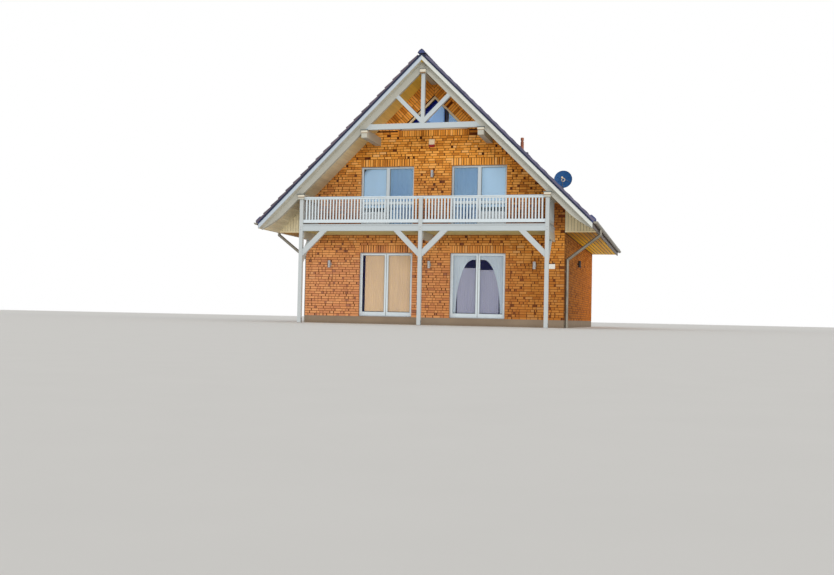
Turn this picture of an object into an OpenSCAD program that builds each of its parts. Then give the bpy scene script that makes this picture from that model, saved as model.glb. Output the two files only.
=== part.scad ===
// Gabled brick beach house with a timber balcony across its front gable.
// Millimetres. X runs along the gable, Y from the front to the back, Z up.
// The origin is at ground level, under the middle of the roof's outline.

/* [House body] */
// Outside width of the brick body
house_w = 8860; // [8000:20:10500]
// Outside length of the brick body, from the front gable to the back gable
house_l = 10900; // [9000:20:14000]
// Thickness of the outside walls
wall_t = 360; // [300:5:420]

/* [Levels] */
// Ground floor level above the ground outside
ground_floor_z = 250; // [150:10:350]
// Upper floor level above the ground outside
upper_floor_z = 3250; // [3150:10:3300]
// Attic floor level above the ground outside
attic_floor_z = 5990; // [5900:10:6150]
// Thickness of the upper floor
upper_floor_t = 250; // [200:10:300]
// Thickness of the attic floor
attic_floor_t = 200; // [150:10:250]

/* [Roof] */
// Pitch of both roof slopes in degrees
roof_pitch = 44.6; // [43.6:0.1:45.6]
// Height of the top of the tiles over the lower edge of the boarding
eave_top_z = 3409; // [3380:1:3440]
// Thickness of tiles and battens, square to the slope
tile_t = 135; // [110:5:150]
// Thickness of the boarding under the tiles, square to the slope
board_t = 103; // [80:1:120]
// Depth of the rafters under the boarding, square to the slope
rafter_d = 185; // [160:5:200]
// Distance that the roof boarding reaches out past the side walls
eave_overhang = 1023; // [900:1:1100]
// Distance that the boarding reaches out past the front gable
front_overhang = 1765; // [1650:5:1900]
// Distance that the boarding reaches out past the back gable
rear_overhang = 565; // [450:10:900]
// Distance that the lowest tiles reach past the boarding at the eaves
tile_nose = 90; // [80:1:92]
// Thickness of the lowest tiles where they reach over the gutter
tile_nose_t = 50; // [35:1:60]
// Distance that the tiles reach past the boarding at the gables
verge_nose = 55; // [40:5:80]
// Gap between pieces that lie on each other along the slope
lay_gap = 0.3; // [0.2:0.1:0.5]
// Width of the ridge tiles
ridge_tile_w = 300; // [240:10:360]
// Thickness of the bargeboards
bargeboard_t = 25; // [18:1:35]

/* [Eaves] */
// Height of the underside of the level eaves boarding
soffit_z = 3100; // [3080:5:3200]
// Thickness of the eaves boarding
soffit_t = 20; // [15:1:30]
// Thickness of the boarded ends of the eaves boxes
closure_t = 25; // [18:1:40]
// Thickness of the board behind the gutter
fascia_t = 20; // [15:1:30]
// Height of the board behind the gutter
fascia_h = 265; // [230:5:280]
// Outside radius of the gutter
gutter_r = 70; // [60:1:80]
// Thickness of the gutter metal
gutter_t = 3; // [2:0.5:5]
// Height of the gutter rim
gutter_rim_z = 3265; // [3240:5:3300]
// Radius of the downpipes
pipe_r = 50; // [40:1:55]
// Distance from the front gable back to the downpipes
pipe_y = 250; // [150:10:600]
// Height of the bend where a downpipe reaches the wall
pipe_bend_z = 2210; // [1900:10:2400]

/* [Balcony] */
// Distance from the front gable out to the middle of the posts
post_y = 1470; // [1300:10:1550]
// Distance from a side wall's outer face in to the middle of an outer post
post_inset = 380; // [250:10:700]
// Side of the square posts
post_s = 120; // [100:5:160]
// Height of the underside of the balcony beams
beam_z = 3014; // [2960:2:3060]
// Height of the balcony beams
beam_h = 166; // [140:2:200]
// Thickness of the balcony beams
beam_t = 100; // [80:5:120]
// Height of the beams that run from the posts back to the wall
cross_beam_h = 239; // [180:1:260]
// Width of the beams that run from the posts back to the wall
cross_beam_w = 140; // [100:5:150]
// Thickness of the balcony floor boards
deck_t = 55; // [30:1:60]
// Distance that the balcony floor reaches past the beams
deck_lip = 10; // [5:1:20]
// Thickness of the boarding under the balcony
ceiling_t = 20; // [15:1:30]
// Width of a balcony joist
joist_w = 60; // [40:5:80]
// Number of joists in each half of the balcony
joist_count = 6; // [4:1:8]
// Reach of a knee brace along the beam, and down the post
brace_reach = 830; // [700:10:900]
// Width of a knee brace seen from the side
brace_w = 165; // [120:5:180]
// Thickness of a knee brace
brace_t = 90; // [70:5:100]

/* [Railing] */
// Height of the top rail's upper face above the balcony floor
rail_h = 865; // [850:5:950]
// Height of the top rail
top_rail_h = 52; // [50:1:80]
// Height of the bottom rail
bottom_rail_h = 105; // [60:5:110]
// Gap between the balcony floor and the bottom rail
bottom_rail_gap = 45; // [40:5:90]
// Thickness of both rails
rail_t = 60; // [50:5:70]
// Width of the board on top of the railing
cap_w = 120; // [90:5:140]
// Thickness of the board on top of the railing
cap_t = 30; // [30:1:45]
// Width of a railing slat
slat_w = 48; // [40:1:52]
// Thickness of a railing slat
slat_t = 22; // [18:1:30]
// Number of slats in one front bay
front_slats = 37; // [34:1:40]
// Number of slats in one side bay
side_slats = 12; // [10:1:13]

/* [Gable truss] */
// Distance that the purlin ends reach out in front of the posts
purlin_reach = 130; // [100:5:200]
// Width of the purlins
purlin_w = 190; // [160:5:200]
// Height of the mid purlins
mid_purlin_h = 265; // [220:5:280]
// Height of the ridge purlin
ridge_purlin_h = 150; // [140:5:220]
// Height of the eaves purlins
eaves_purlin_h = 175; // [150:5:200]
// Height of the top of the mid purlins above the attic floor
mid_purlin_rise = 310; // [290:5:330]
// Length over which the foot of a front rafter tapers off
tail_l = 750; // [500:10:900]
// Height of the tie beam
tie_h = 175; // [150:5:200]
// Thickness of the timbers in the truss
truss_t = 120; // [100:5:140]
// Width of the king post and the front rafters' thickness
king_w = 120; // [100:5:150]
// Width of the struts
strut_w = 130; // [90:5:130]

/* [Windows and doors] */
// Height of the heads of the ground floor openings
ground_head_z = 2417; // [2350:1:2450]
// Height of the heads of the upper openings
upper_head_z = 5333; // [5250:1:5400]
// Distance from the middle of the house to an opening, ground floor
ground_open_x = 641; // [560:1:760]
// Width of a ground floor opening
ground_open_w = 1872; // [1700:2:2000]
// Distance from the middle of the house to an opening, upper floor
upper_open_x = 641; // [560:1:760]
// Width of an upper opening
upper_open_w = 1872; // [1700:2:2000]
// Height of the window sills above the floor in the back wall
sill_h = 833; // [700:1:1000]
// Height of the foot of the attic window above the attic floor
attic_sill_h = 550; // [490:5:600]
// Distance from the top of the roof down to the tip of the attic window
attic_tip_drop = 1080; // [1040:5:1150]
// Distance from the middle to a bar of the attic window
attic_bar_x = 430; // [300:10:600]
// Depth from the brick face to the frames
reveal = 110; // [80:5:140]
// Width of a fixed frame beside a leaf that opens
frame_w = 30; // [30:1:50]
// Width of frame and sash together at the edge of a fixed unit
sash_w = 57; // [50:1:110]
// Width of the two sashes that meet in the middle of a fixed unit
mullion_w = 100; // [90:1:160]
// Depth of a fixed frame
frame_d = 80; // [70:5:90]
// Width of the stiles of a leaf
stile_w = 50; // [50:1:80]
// Height of the top rail of a door leaf
head_rail_h = 45; // [40:1:80]
// Height of the bottom rail of a door leaf
kick_h = 120; // [90:5:160]
// Height of the middle rail of a door leaf above its opening's foot
mid_rail_z = 810; // [600:10:900]
// Height of the middle rail of a door leaf
mid_rail_h = 80; // [60:5:100]
// Depth of a leaf
leaf_d = 60; // [50:5:70]
// Clear gap around a door leaf that opens
leaf_gap = 5; // [5:0.5:8]
// Clear gap between two door leaves that meet
meeting_gap = 14; // [10:1:18]
// Height of the threshold under the terrace doors
threshold_h = 20; // [15:1:30]
// Thickness of the glass
glass_t = 24; // [20:1:30]
// Gap between a pane and the leaf that opens with it
pane_gap = 0.3; // [0.2:0.1:0.5]
// Radius of a hinge knuckle
knuckle_r = 9; // [8:0.5:12]
// Height of a hinge knuckle
knuckle_h = 45; // [30:5:60]
// Radius of a hinge pin
pin_r = 5; // [4:0.5:6]
// Gap around a hinge pin and between the knuckles
pin_gap = 0.3; // [0.2:0.1:0.5]

/* [Fittings] */
// Diameter of the satellite dish
dish_d = 700; // [600:10:800]
// Radius of the flue pipe
flue_r = 60; // [50:5:80]
// Height that the flue pipe stands out of the roof
flue_h = 500; // [400:10:600]
// Radius of a wall lamp
lamp_r = 50; // [40:1:60]
// Height of a wall lamp
lamp_h = 240; // [200:5:280]

/* [Hidden] */
$fn = 48;

half_w = house_w / 2;
slope = tan(roof_pitch);
steep = cos(roof_pitch);
eave_x = half_w + eave_overhang;
ridge_z = eave_top_z + slope * eave_x;
post_x = half_w - post_inset;
attic_sill_z = attic_floor_z + attic_sill_h;
attic_tip_z = ridge_z - attic_tip_drop;
boards_front = -front_overhang;
boards_rear = house_l + rear_overhang;
tiles_front = boards_front - verge_nose;
tiles_rear = boards_rear + verge_nose;
mid_y = (tiles_front + tiles_rear) / 2;
drop_boards = tile_t / steep;
drop_rafters = drop_boards + board_t / steep;
drop_inside = drop_rafters + rafter_d / steep;
overcut = 50;
tail_steps = 8;
gutter_x = eave_x + fascia_t + gutter_r;
door_foot = ground_floor_z;
balcony_foot = upper_floor_z;
window_foot = ground_floor_z + sill_h;
upper_window_foot = upper_floor_z + sill_h;
deck_z = beam_z + beam_h;
deck_top = deck_z + deck_t;
rail_top = deck_top + rail_h;
purlin_front = -post_y - purlin_reach;
mid_purlin_top = attic_floor_z + mid_purlin_rise;
mid_purlin_foot = mid_purlin_top - mid_purlin_h;
mid_purlin_x = roof_x(mid_purlin_top, drop_inside);
ridge_purlin_foot = roof_z(0, drop_inside) + 20 - ridge_purlin_h;
eaves_purlin_top = roof_z(post_x, drop_inside) + 30;
eaves_purlin_foot = eaves_purlin_top - eaves_purlin_h;
purlin_seat = 120;
leaf_w = (ground_open_w - 2 * frame_w - 2 * leaf_gap - meeting_gap) / 2;
leaf_z0 = door_foot + threshold_h + leaf_gap;
leaf_h = ground_head_z - frame_w - leaf_gap - leaf_z0;
frame_y0 = reveal;
leaf_y0 = reveal + frame_d - leaf_d;
pane_y0 = leaf_y0 + (leaf_d - glass_t) / 2;
attic_half = (attic_tip_z - attic_sill_z) / slope;
hinge_y = frame_y0 + frame_d + knuckle_r;
hinge_levels = [leaf_z0 + 180, leaf_z0 + leaf_h / 2, leaf_z0 + leaf_h - 250];

// Height of a roof layer at a distance from the middle of the house
function roof_z(x, drop) = ridge_z - slope * abs(x) - drop;

// Distance from the middle at which a roof layer comes down to a height
function roof_x(z, drop) = (ridge_z - drop - z) / slope;

// Moves a piece from the front wall's frame to the origin under the roof
module placed() {
  translate([0, -mid_y, 0]) children();
}

// A flat outline in X and Z, drawn out along Y
module along_y(y0, length) {
  translate([0, y0 + length, 0]) rotate([90, 0, 0]) linear_extrude(length) children();
}

// A flat outline in Y and Z, drawn out along X
module along_x(x0, length) {
  translate([x0, 0, 0]) rotate([90, 0, 90]) linear_extrude(length) children();
}

// A block between two corners
module block(low, high) {
  translate(low) cube(high - low);
}

// The same piece on both sides of the middle
module both_sides() {
  children();
  mirror([1, 0, 0]) children();
}

// One slope of a roof layer between two distances from the middle
module slope_band(x0, x1, drop_top, drop_foot) {
  polygon([[x0, roof_z(x0, drop_top)], [x1, roof_z(x1, drop_top)],
    [x1, roof_z(x1, drop_foot)], [x0, roof_z(x0, drop_foot)]]);
}

// Both slopes of a roof layer as one bent band
module roof_band(x1, drop_top, drop_foot) {
  polygon([[0, roof_z(0, drop_top)], [x1, roof_z(x1, drop_top)], [x1, roof_z(x1, drop_foot)],
    [0, roof_z(0, drop_foot)], [-x1, roof_z(x1, drop_foot)], [-x1, roof_z(x1, drop_top)]]);
}

// Outline of a gable wall from a height up to the roof boarding
module gable_outline(z0) {
  drop = drop_rafters + lay_gap;
  polygon([[-half_w, z0], [half_w, z0], [half_w, roof_z(half_w, drop)],
    [0, roof_z(0, drop)], [-half_w, roof_z(half_w, drop)]]);
}

// Outline of the attic window, or of one drawn in from it
module attic_outline(inset) {
  side = inset / steep;
  polygon([[-attic_half + (side + inset) / slope, attic_sill_z + inset],
    [attic_half - (side + inset) / slope, attic_sill_z + inset],
    [0, attic_tip_z - side]]);
}

// Openings for a pair of doors or windows, cut through a wall
module pair_of_holes(y0, x0, width, z0, z1) {
  both_sides() block([x0, y0 - overcut, z0], [x0 + width, y0 + wall_t + overcut, z1]);
}

// Outlines of the purlins that pass through the gables
module ridge_purlin_outline() {
  translate([-purlin_w / 2, ridge_purlin_foot]) square([purlin_w, ridge_purlin_h]);
}
module mid_purlin_outline() {
  translate([mid_purlin_x - purlin_w / 2, mid_purlin_foot]) square([purlin_w, mid_purlin_h]);
}
module eaves_purlin_outline() {
  translate([post_x - purlin_w / 2, eaves_purlin_foot]) square([purlin_w, eaves_purlin_h]);
}

// The room that the long purlins take in what they pass through
module purlin_room() {
  along_y(boards_front, boards_rear - boards_front) {
    ridge_purlin_outline();
    both_sides() mid_purlin_outline();
  }
}

// Ground floor slab, under all the walls
module ground_slab() {
  color("sienna") placed()
    block([-half_w, 0, 0], [half_w, house_l, ground_floor_z]);
}

// Brick piers beside the terrace doors
module front_wall_piers() {
  far_x = ground_open_x + ground_open_w;
  color("peru") placed() {
    block([-ground_open_x, 0, ground_floor_z], [ground_open_x, wall_t, ground_head_z]);
    both_sides() block([far_x, 0, ground_floor_z], [half_w, wall_t, ground_head_z]);
  }
}

// Front gable over the terrace doors
module front_gable_wall() {
  color("peru") placed()
    difference() {
      along_y(0, wall_t) gable_outline(ground_head_z);
      pair_of_holes(0, upper_open_x, upper_open_w, balcony_foot, upper_head_z);
      along_y(-overcut, wall_t + 2 * overcut) attic_outline(0);
      purlin_room();
      both_sides() along_y(-overcut, overcut + purlin_seat) eaves_purlin_outline();
    }
}

// Back gable, with windows under the same heads as in the front
module rear_wall() {
  y0 = house_l - wall_t;
  color("peru") placed()
    difference() {
      along_y(y0, wall_t) gable_outline(ground_floor_z);
      pair_of_holes(y0, ground_open_x, ground_open_w, window_foot, ground_head_z);
      pair_of_holes(y0, upper_open_x, upper_open_w, upper_window_foot, upper_head_z);
      along_y(y0 - overcut, wall_t + 2 * overcut) attic_outline(0);
      purlin_room();
    }
}

// Long side walls between the gables
module side_walls() {
  drop = drop_inside + lay_gap;
  color("chocolate") placed()
    both_sides() along_y(wall_t, house_l - 2 * wall_t)
      polygon([[half_w - wall_t, ground_floor_z], [half_w, ground_floor_z],
        [half_w, roof_z(half_w, drop)], [half_w - wall_t, roof_z(half_w - wall_t, drop)]]);
}

// Upper floor between the walls
module upper_floor() {
  color("burlywood") placed()
    block([wall_t - half_w, wall_t, upper_floor_z - upper_floor_t],
      [half_w - wall_t, house_l - wall_t, upper_floor_z]);
}

// Attic floor between the roof slopes
module attic_floor() {
  z0 = attic_floor_z - attic_floor_t;
  x0 = roof_x(z0, drop_inside + lay_gap);
  x1 = roof_x(attic_floor_z, drop_inside + lay_gap);
  color("burlywood") placed()
    along_y(wall_t, house_l - 2 * wall_t)
      polygon([[-x0, z0], [x0, z0], [x1, attic_floor_z], [-x1, attic_floor_z]]);
}

// Rafters and lining between the gables, as one panel
module rafter_panel() {
  color("tan") placed()
    difference() {
      along_y(wall_t, house_l - 2 * wall_t)
        roof_band(half_w, drop_rafters + lay_gap, drop_inside);
      purlin_room();
    }
}

// Boarding on the rafters, one slope
module roof_boards() {
  along_y(boards_front, boards_rear - boards_front)
    slope_band(0, eave_x, drop_boards, drop_rafters);
}

module roof_boards_left() {
  color("ivory") placed() mirror([1, 0, 0]) roof_boards();
}

module roof_boards_right() {
  color("ivory") placed() roof_boards();
}

// Tiles and battens, one slope, with the lowest tiles over the gutter
module roof_tiles() {
  nose_x = eave_x + tile_nose;
  step_x = eave_x - 13;
  drop = drop_boards - lay_gap;
  along_y(tiles_front, tiles_rear - tiles_front)
    polygon([[0, roof_z(0, 0)], [nose_x, roof_z(nose_x, 0)],
      [nose_x, roof_z(nose_x, tile_nose_t)], [step_x, roof_z(step_x, tile_nose_t)],
      [step_x, roof_z(step_x, drop)], [0, roof_z(0, drop)]]);
}

module roof_tiles_left() {
  color("midnightblue") placed() mirror([1, 0, 0]) roof_tiles();
}

module roof_tiles_right() {
  color("midnightblue") placed() roof_tiles();
}

// Ridge tiles, bent over both slopes
module ridge_tiles() {
  w = ridge_tile_w / 2;
  crown_w = 40;
  crown_h = 14;
  edge_t = 24;
  color("darkslateblue") placed()
    along_y(tiles_front, tiles_rear - tiles_front)
      polygon([[0, roof_z(0, -lay_gap)], [w, roof_z(w, -lay_gap)], [w, roof_z(w, -edge_t)],
        [crown_w, roof_z(0, -crown_h)], [-crown_w, roof_z(0, -crown_h)],
        [-w, roof_z(w, -edge_t)], [-w, roof_z(w, -lay_gap)]]);
}

// Bargeboards on the edges of the boarding at both gables
module bargeboards() {
  color("white") placed()
    for (y0 = [boards_front - bargeboard_t, boards_rear])
      along_y(y0, bargeboard_t) roof_band(eave_x, drop_boards, drop_rafters);
}

// Underside of a front rafter from its foot up to the ridge, on one side
function rafter_foot(side) = [for (i = [tail_steps : -1 : 0])
  let (x = eave_x - tail_l + tail_l * i / tail_steps)
    [side * x, roof_z(x, drop_rafters + lay_gap
      + (drop_inside - drop_rafters) * (1 - 0.95 * pow(i / tail_steps, 1.5)))]];

// Front rafters in line with the posts, with a curved taper at their feet
module front_rafters() {
  drop = drop_rafters + lay_gap;
  left_foot = rafter_foot(-1);
  color("ivory") placed()
    difference() {
      along_y(-post_y - king_w / 2, king_w)
        polygon(concat([[0, roof_z(0, drop)], [eave_x, roof_z(eave_x, drop)]], rafter_foot(1),
          [[0, roof_z(0, drop_inside)]], [for (i = [tail_steps : -1 : 0]) left_foot[i]],
          [[-eave_x, roof_z(eave_x, drop)]]));
      purlin_room();
      both_sides() along_y(purlin_front, -purlin_front) eaves_purlin_outline();
    }
}

// Purlins under the rafters
module ridge_purlin() {
  color("ivory") placed()
    along_y(purlin_front, boards_rear - 100 - purlin_front) ridge_purlin_outline();
}

module mid_purlins() {
  color("ivory") placed()
    both_sides() along_y(purlin_front, boards_rear - 100 - purlin_front)
      mid_purlin_outline();
}

module eaves_purlins() {
  color("ivory") placed()
    both_sides() along_y(purlin_front, purlin_seat - purlin_front) eaves_purlin_outline();
}

// Tie beam across the mid purlins, cut along the rafters
module tie_beam() {
  z1 = mid_purlin_top + tie_h;
  x0 = roof_x(mid_purlin_top, drop_inside + lay_gap);
  x1 = roof_x(z1, drop_inside + lay_gap);
  color("white") placed()
    along_y(-post_y - truss_t / 2, truss_t)
      polygon([[-x0, mid_purlin_top], [x0, mid_purlin_top], [x1, z1], [-x1, z1]]);
}

// King post from the tie beam to the ridge purlin
module king_post() {
  color("white") placed()
    block([-king_w / 2, -post_y - truss_t / 2, mid_purlin_top + tie_h],
      [king_w / 2, -post_y + truss_t / 2, ridge_purlin_foot]);
}

// Struts from the foot of the king post up to the rafters
module gable_struts() {
  foot_x = king_w / 2;
  foot_z = mid_purlin_top + tie_h;
  rise = strut_w * sqrt(2);
  reach = 2000;
  color("white") placed()
    both_sides() along_y(-post_y - truss_t / 2, truss_t)
      intersection() {
        polygon([[foot_x, foot_z], [foot_x + reach, foot_z + reach],
          [foot_x + reach, foot_z + reach + rise], [foot_x, foot_z + rise]]);
        polygon([[0, 0], [half_w, 0], [half_w, roof_z(half_w, drop_inside + lay_gap)],
          [0, roof_z(0, drop_inside + lay_gap)]]);
      }
}

// Posts from the ground to the eaves purlins and to the middle of the railing
module balcony_posts() {
  color("white") placed() {
    for (x = [-post_x, post_x])
      block([x - post_s / 2, -post_y - post_s / 2, 0],
        [x + post_s / 2, -post_y + post_s / 2, eaves_purlin_foot]);
    block([-post_s / 2, -post_y - post_s / 2, 0],
      [post_s / 2, -post_y + post_s / 2, rail_top]);
  }
}

// Outline of a brace that leans out from a post at the left to a beam above
module brace_outline(beam_foot) {
  polygon([[0, beam_foot - brace_reach], [brace_reach, beam_foot],
    [brace_reach - brace_w * sqrt(2), beam_foot],
    [0, beam_foot - brace_reach + brace_w * sqrt(2)]]);
}

// Knee braces under the balcony beams
module knee_braces() {
  y0 = -post_y - brace_t / 2;
  side_foot = beam_z - cross_beam_h;
  color("white") placed() {
    both_sides() translate([post_s / 2, 0, 0]) along_y(y0, brace_t) brace_outline(beam_z);
    both_sides() translate([post_s / 2 - post_x, 0, 0])
      along_y(y0, brace_t) brace_outline(beam_z);
    both_sides() along_x(post_x - brace_t / 2, brace_t)
      translate([-post_y + post_s / 2, 0]) brace_outline(side_foot);
  }
}

// Edge beams between the posts, and at the sides back to the wall
module balcony_beams() {
  x0 = post_s / 2;
  x1 = post_x - post_s / 2;
  color("white") placed()
    both_sides() {
      block([x0, -post_y - beam_t / 2, beam_z], [x1, -post_y + beam_t / 2, deck_z]);
      block([post_x - beam_t / 2, -post_y + post_s / 2, beam_z],
        [post_x + beam_t / 2, 0, deck_z]);
    }
}

// Beams from the posts back to the wall
module cross_beams() {
  color("ivory") placed()
    for (x = [-post_x, 0, post_x])
      block([x - cross_beam_w / 2, -post_y + post_s / 2, beam_z - cross_beam_h],
        [x + cross_beam_w / 2, 0, beam_z]);
}

// Joists on the boarding that closes the balcony from below
module balcony_joists() {
  x1 = post_x - beam_t / 2;
  y0 = -post_y + post_s / 2;
  spacing = (post_x - beam_t) / joist_count;
  color("ivory") placed() {
    block([-x1, y0, beam_z], [x1, 0, beam_z + ceiling_t]);
    for (i = [0 : joist_count - 1])
      both_sides() translate([beam_t + i * spacing, 0, 0])
        block([0, y0, beam_z], [joist_w, 0, deck_z]);
  }
}

// Balcony floor, notched round the posts
module balcony_deck() {
  x1 = post_x + beam_t / 2 + deck_lip;
  y0 = -post_y - beam_t / 2 - deck_lip;
  color("white") placed()
    difference() {
      block([-x1, y0, deck_z], [x1, 0, deck_top]);
      for (x = [-post_x, 0, post_x])
        block([x - post_s / 2, -post_y - post_s / 2, 0],
          [x + post_s / 2, -post_y + post_s / 2, rail_top]);
    }
}

// Bottom rail and slats of one bay of railing, from the origin along X
module railing_bay(length, slats, top_z) {
  bottom_z = deck_top + bottom_rail_gap;
  pitch = length / (slats + 1);
  translate([0, -rail_t / 2, bottom_z]) cube([length, rail_t, bottom_rail_h]);
  for (i = [1 : slats])
    translate([i * pitch - slat_w / 2, -slat_t / 2, bottom_z])
      cube([slat_w, slat_t, top_z - top_rail_h / 2 - bottom_z]);
}

// Front railing, two bays under one cap board that ends at the eaves purlins
module front_railings() {
  bay = post_x - post_s;
  top_x = post_x - purlin_w / 2;
  color("white") placed() translate([0, -post_y, 0]) {
    both_sides() {
      translate([post_s / 2, 0, 0]) railing_bay(bay, front_slats, rail_top);
      block([post_s / 2, -rail_t / 2, rail_top - top_rail_h], [top_x, rail_t / 2, rail_top]);
    }
    block([-top_x, -cap_w / 2, rail_top], [top_x, cap_w / 2, rail_top + cap_t]);
  }
}

// Side railings under the eaves purlins, from the outer posts to posts on the wall
module side_railings() {
  bay = post_y - post_s / 2;
  color("white") placed()
    for (x = [-post_x, post_x])
      translate([x, -bay, 0]) rotate([0, 0, 90]) {
        railing_bay(bay, side_slats, eaves_purlin_foot);
        block([0, -rail_t / 2, eaves_purlin_foot - top_rail_h],
          [bay, rail_t / 2, eaves_purlin_foot]);
        block([bay - rail_t, -rail_t / 2, deck_top], [bay, rail_t / 2, eaves_purlin_foot]);
      }
}

// Boxed eaves: level boarding, boarded ends and the board behind the gutter
module eaves_boxes() {
  drop = drop_rafters + lay_gap;
  tip_x = roof_x(soffit_z, drop);
  lip_x = roof_x(soffit_z + soffit_t, drop);
  top_z = roof_z(half_w, drop);
  fascia_z = gutter_rim_z + gutter_r + 10 - fascia_h;
  color("beige") placed()
    both_sides() {
      along_y(0, house_l)
        polygon([[half_w, soffit_z], [tip_x, soffit_z], [lip_x, soffit_z + soffit_t],
          [half_w, soffit_z + soffit_t]]);
      for (y0 = [0, house_l - closure_t])
        along_y(y0, closure_t)
          polygon([[half_w, soffit_z], [tip_x, soffit_z], [half_w, top_z]]);
      block([eave_x, boards_front, fascia_z], [eave_x + fascia_t, boards_rear,
        roof_z(eave_x + fascia_t, tile_nose_t + lay_gap)]);
    }
}

// Half round gutters with closed ends
module gutters() {
  y0 = boards_front - bargeboard_t;
  length = boards_rear + bargeboard_t - y0;
  color("silver") placed()
    both_sides() difference() {
      translate([gutter_x, y0 + length, gutter_rim_z]) rotate([90, 0, 0])
        cylinder(r = gutter_r, h = length);
      translate([gutter_x, y0 + length - gutter_t, gutter_rim_z]) rotate([90, 0, 0])
        cylinder(r = gutter_r - gutter_t, h = length - 2 * gutter_t);
      block([gutter_x - 2 * gutter_r, y0 - overcut, gutter_rim_z],
        [gutter_x + 2 * gutter_r, y0 + length + overcut, gutter_rim_z + 2 * gutter_r]);
    }
}

// Downpipes: out of the gutter, in to the wall, and down its corner
module downpipes() {
  wall_x = half_w + pipe_r + 20;
  elbow_z = gutter_rim_z - gutter_r - 170;
  run = gutter_x - wall_x;
  fall = elbow_z - pipe_bend_z;
  lean = atan2(run, fall);
  collar = 5;
  color("silver") placed()
    both_sides() {
      difference() {
        translate([gutter_x, pipe_y, elbow_z]) cylinder(r = pipe_r, h = 200);
        translate([gutter_x, pipe_y + 2 * pipe_r, gutter_rim_z]) rotate([90, 0, 0])
          cylinder(r = gutter_r + 0.3, h = 4 * pipe_r);
      }
      translate([gutter_x, pipe_y, elbow_z]) sphere(r = pipe_r + collar);
      translate([gutter_x, pipe_y, elbow_z]) rotate([0, 180 + lean, 0])
        cylinder(r = pipe_r, h = norm([run, fall]));
      translate([wall_x, pipe_y, pipe_bend_z]) sphere(r = pipe_r + collar);
      translate([wall_x, pipe_y, 0]) cylinder(r = pipe_r, h = pipe_bend_z);
      for (z = [500, pipe_bend_z - 400])
        block([half_w, pipe_y - 15, z], [wall_x, pipe_y + 15, z + 30]);
    }
}

// A frame with two leaves side by side, as one piece
module paired_frame(x0, width, z0, z1, y0, rails, kick) {
  glass_w = (width - mullion_w) / 2 - sash_w;
  difference() {
    block([x0, y0, z0], [x0 + width, y0 + frame_d, z1]);
    for (x = [x0 + sash_w, x0 + sash_w + glass_w + mullion_w])
      difference() {
        block([x, y0 - overcut, z0 + kick], [x + glass_w, y0 + frame_d + overcut, z1 - sash_w]);
        for (z = rails)
          block([x, y0 - 2 * overcut, z0 + z],
            [x + glass_w, y0 + frame_d + 2 * overcut, z0 + z + mid_rail_h]);
      }
  }
}

// Sheets of glass that fill a paired frame
module paired_glass(x0, width, z0, z1, y0, rails, kick) {
  glass_w = (width - mullion_w) / 2 - sash_w;
  y1 = y0 + (frame_d - glass_t) / 2;
  for (x = [x0 + sash_w, x0 + sash_w + glass_w + mullion_w])
    difference() {
      block([x, y1, z0 + kick], [x + glass_w, y1 + glass_t, z1 - sash_w]);
      for (z = rails)
        block([x - overcut, y1 - overcut, z0 + z],
          [x + glass_w + overcut, y1 + glass_t + overcut, z0 + z + mid_rail_h]);
    }
}

// Balcony doors, two leaves a side, each with a middle rail
module balcony_door_frames() {
  color("white") placed()
    both_sides() paired_frame(upper_open_x, upper_open_w, balcony_foot, upper_head_z,
      frame_y0, [mid_rail_z], kick_h);
}

module balcony_door_glass() {
  color("lightsteelblue") placed()
    both_sides() paired_glass(upper_open_x, upper_open_w, balcony_foot, upper_head_z,
      frame_y0, [mid_rail_z], kick_h);
}

// Fixed frames and thresholds of the terrace doors
module terrace_door_frames() {
  x1 = ground_open_x + ground_open_w;
  color("white") placed()
    both_sides() difference() {
      block([ground_open_x, frame_y0, door_foot], [x1, frame_y0 + frame_d, ground_head_z]);
      block([ground_open_x + frame_w, frame_y0 - overcut, door_foot + threshold_h],
        [x1 - frame_w, frame_y0 + frame_d + overcut, ground_head_z - frame_w]);
    }
  color("white") placed()
    both_sides() {
      translate([ground_open_x + frame_w, 0, 0]) frame_hinges();
      translate([x1 - frame_w, 0, 0]) mirror([1, 0, 0]) frame_hinges();
    }
}

// Lower hinge knuckles with their pins, on a frame whose jamb ends at the origin
module frame_hinges() {
  for (z = hinge_levels) {
    translate([leaf_gap / 2, hinge_y, z - knuckle_h]) cylinder(r = knuckle_r, h = knuckle_h);
    translate([leaf_gap / 2, hinge_y, z - 1]) cylinder(r = pin_r, h = knuckle_h - 5);
    block([-30, hinge_y - knuckle_r - 5, z - knuckle_h], [0, hinge_y - 3, z]);
  }
}

// Upper hinge knuckles on a leaf whose edge is at the origin
module leaf_hinges() {
  for (z = hinge_levels)
    difference() {
      union() {
        translate([-leaf_gap / 2, hinge_y, z + pin_gap]) cylinder(r = knuckle_r, h = knuckle_h);
        block([0, hinge_y - knuckle_r - 5, z + pin_gap], [30, hinge_y - 3, z + pin_gap + knuckle_h]);
      }
      translate([-leaf_gap / 2, hinge_y, z - 1])
        cylinder(r = pin_r + pin_gap, h = knuckle_h);
    }
}

// A door leaf that opens, from its outer edge at the origin along X
module door_leaf() {
  pane_w = leaf_w - 2 * stile_w;
  pane_h = leaf_h - head_rail_h - kick_h;
  translate([0, leaf_y0, leaf_z0]) difference() {
    cube([leaf_w, leaf_d, leaf_h]);
    translate([stile_w, -overcut, kick_h]) cube([pane_w, leaf_d + 2 * overcut, pane_h]);
  }
  leaf_hinges();
  translate([stile_w + pane_gap, pane_y0, leaf_z0 + kick_h + pane_gap])
    cube([pane_w - 2 * pane_gap, glass_t, pane_h - 2 * pane_gap]);
}

// The leaf at the left or the right of a pair that starts at x0
module leaf_at(x0, at_right) {
  near_x = x0 + frame_w + leaf_gap;
  far_x = x0 + ground_open_w - frame_w - leaf_gap;
  if (at_right)
    translate([far_x, 0, 0]) mirror([1, 0, 0]) door_leaf();
  else
    translate([near_x, 0, 0]) door_leaf();
}

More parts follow.
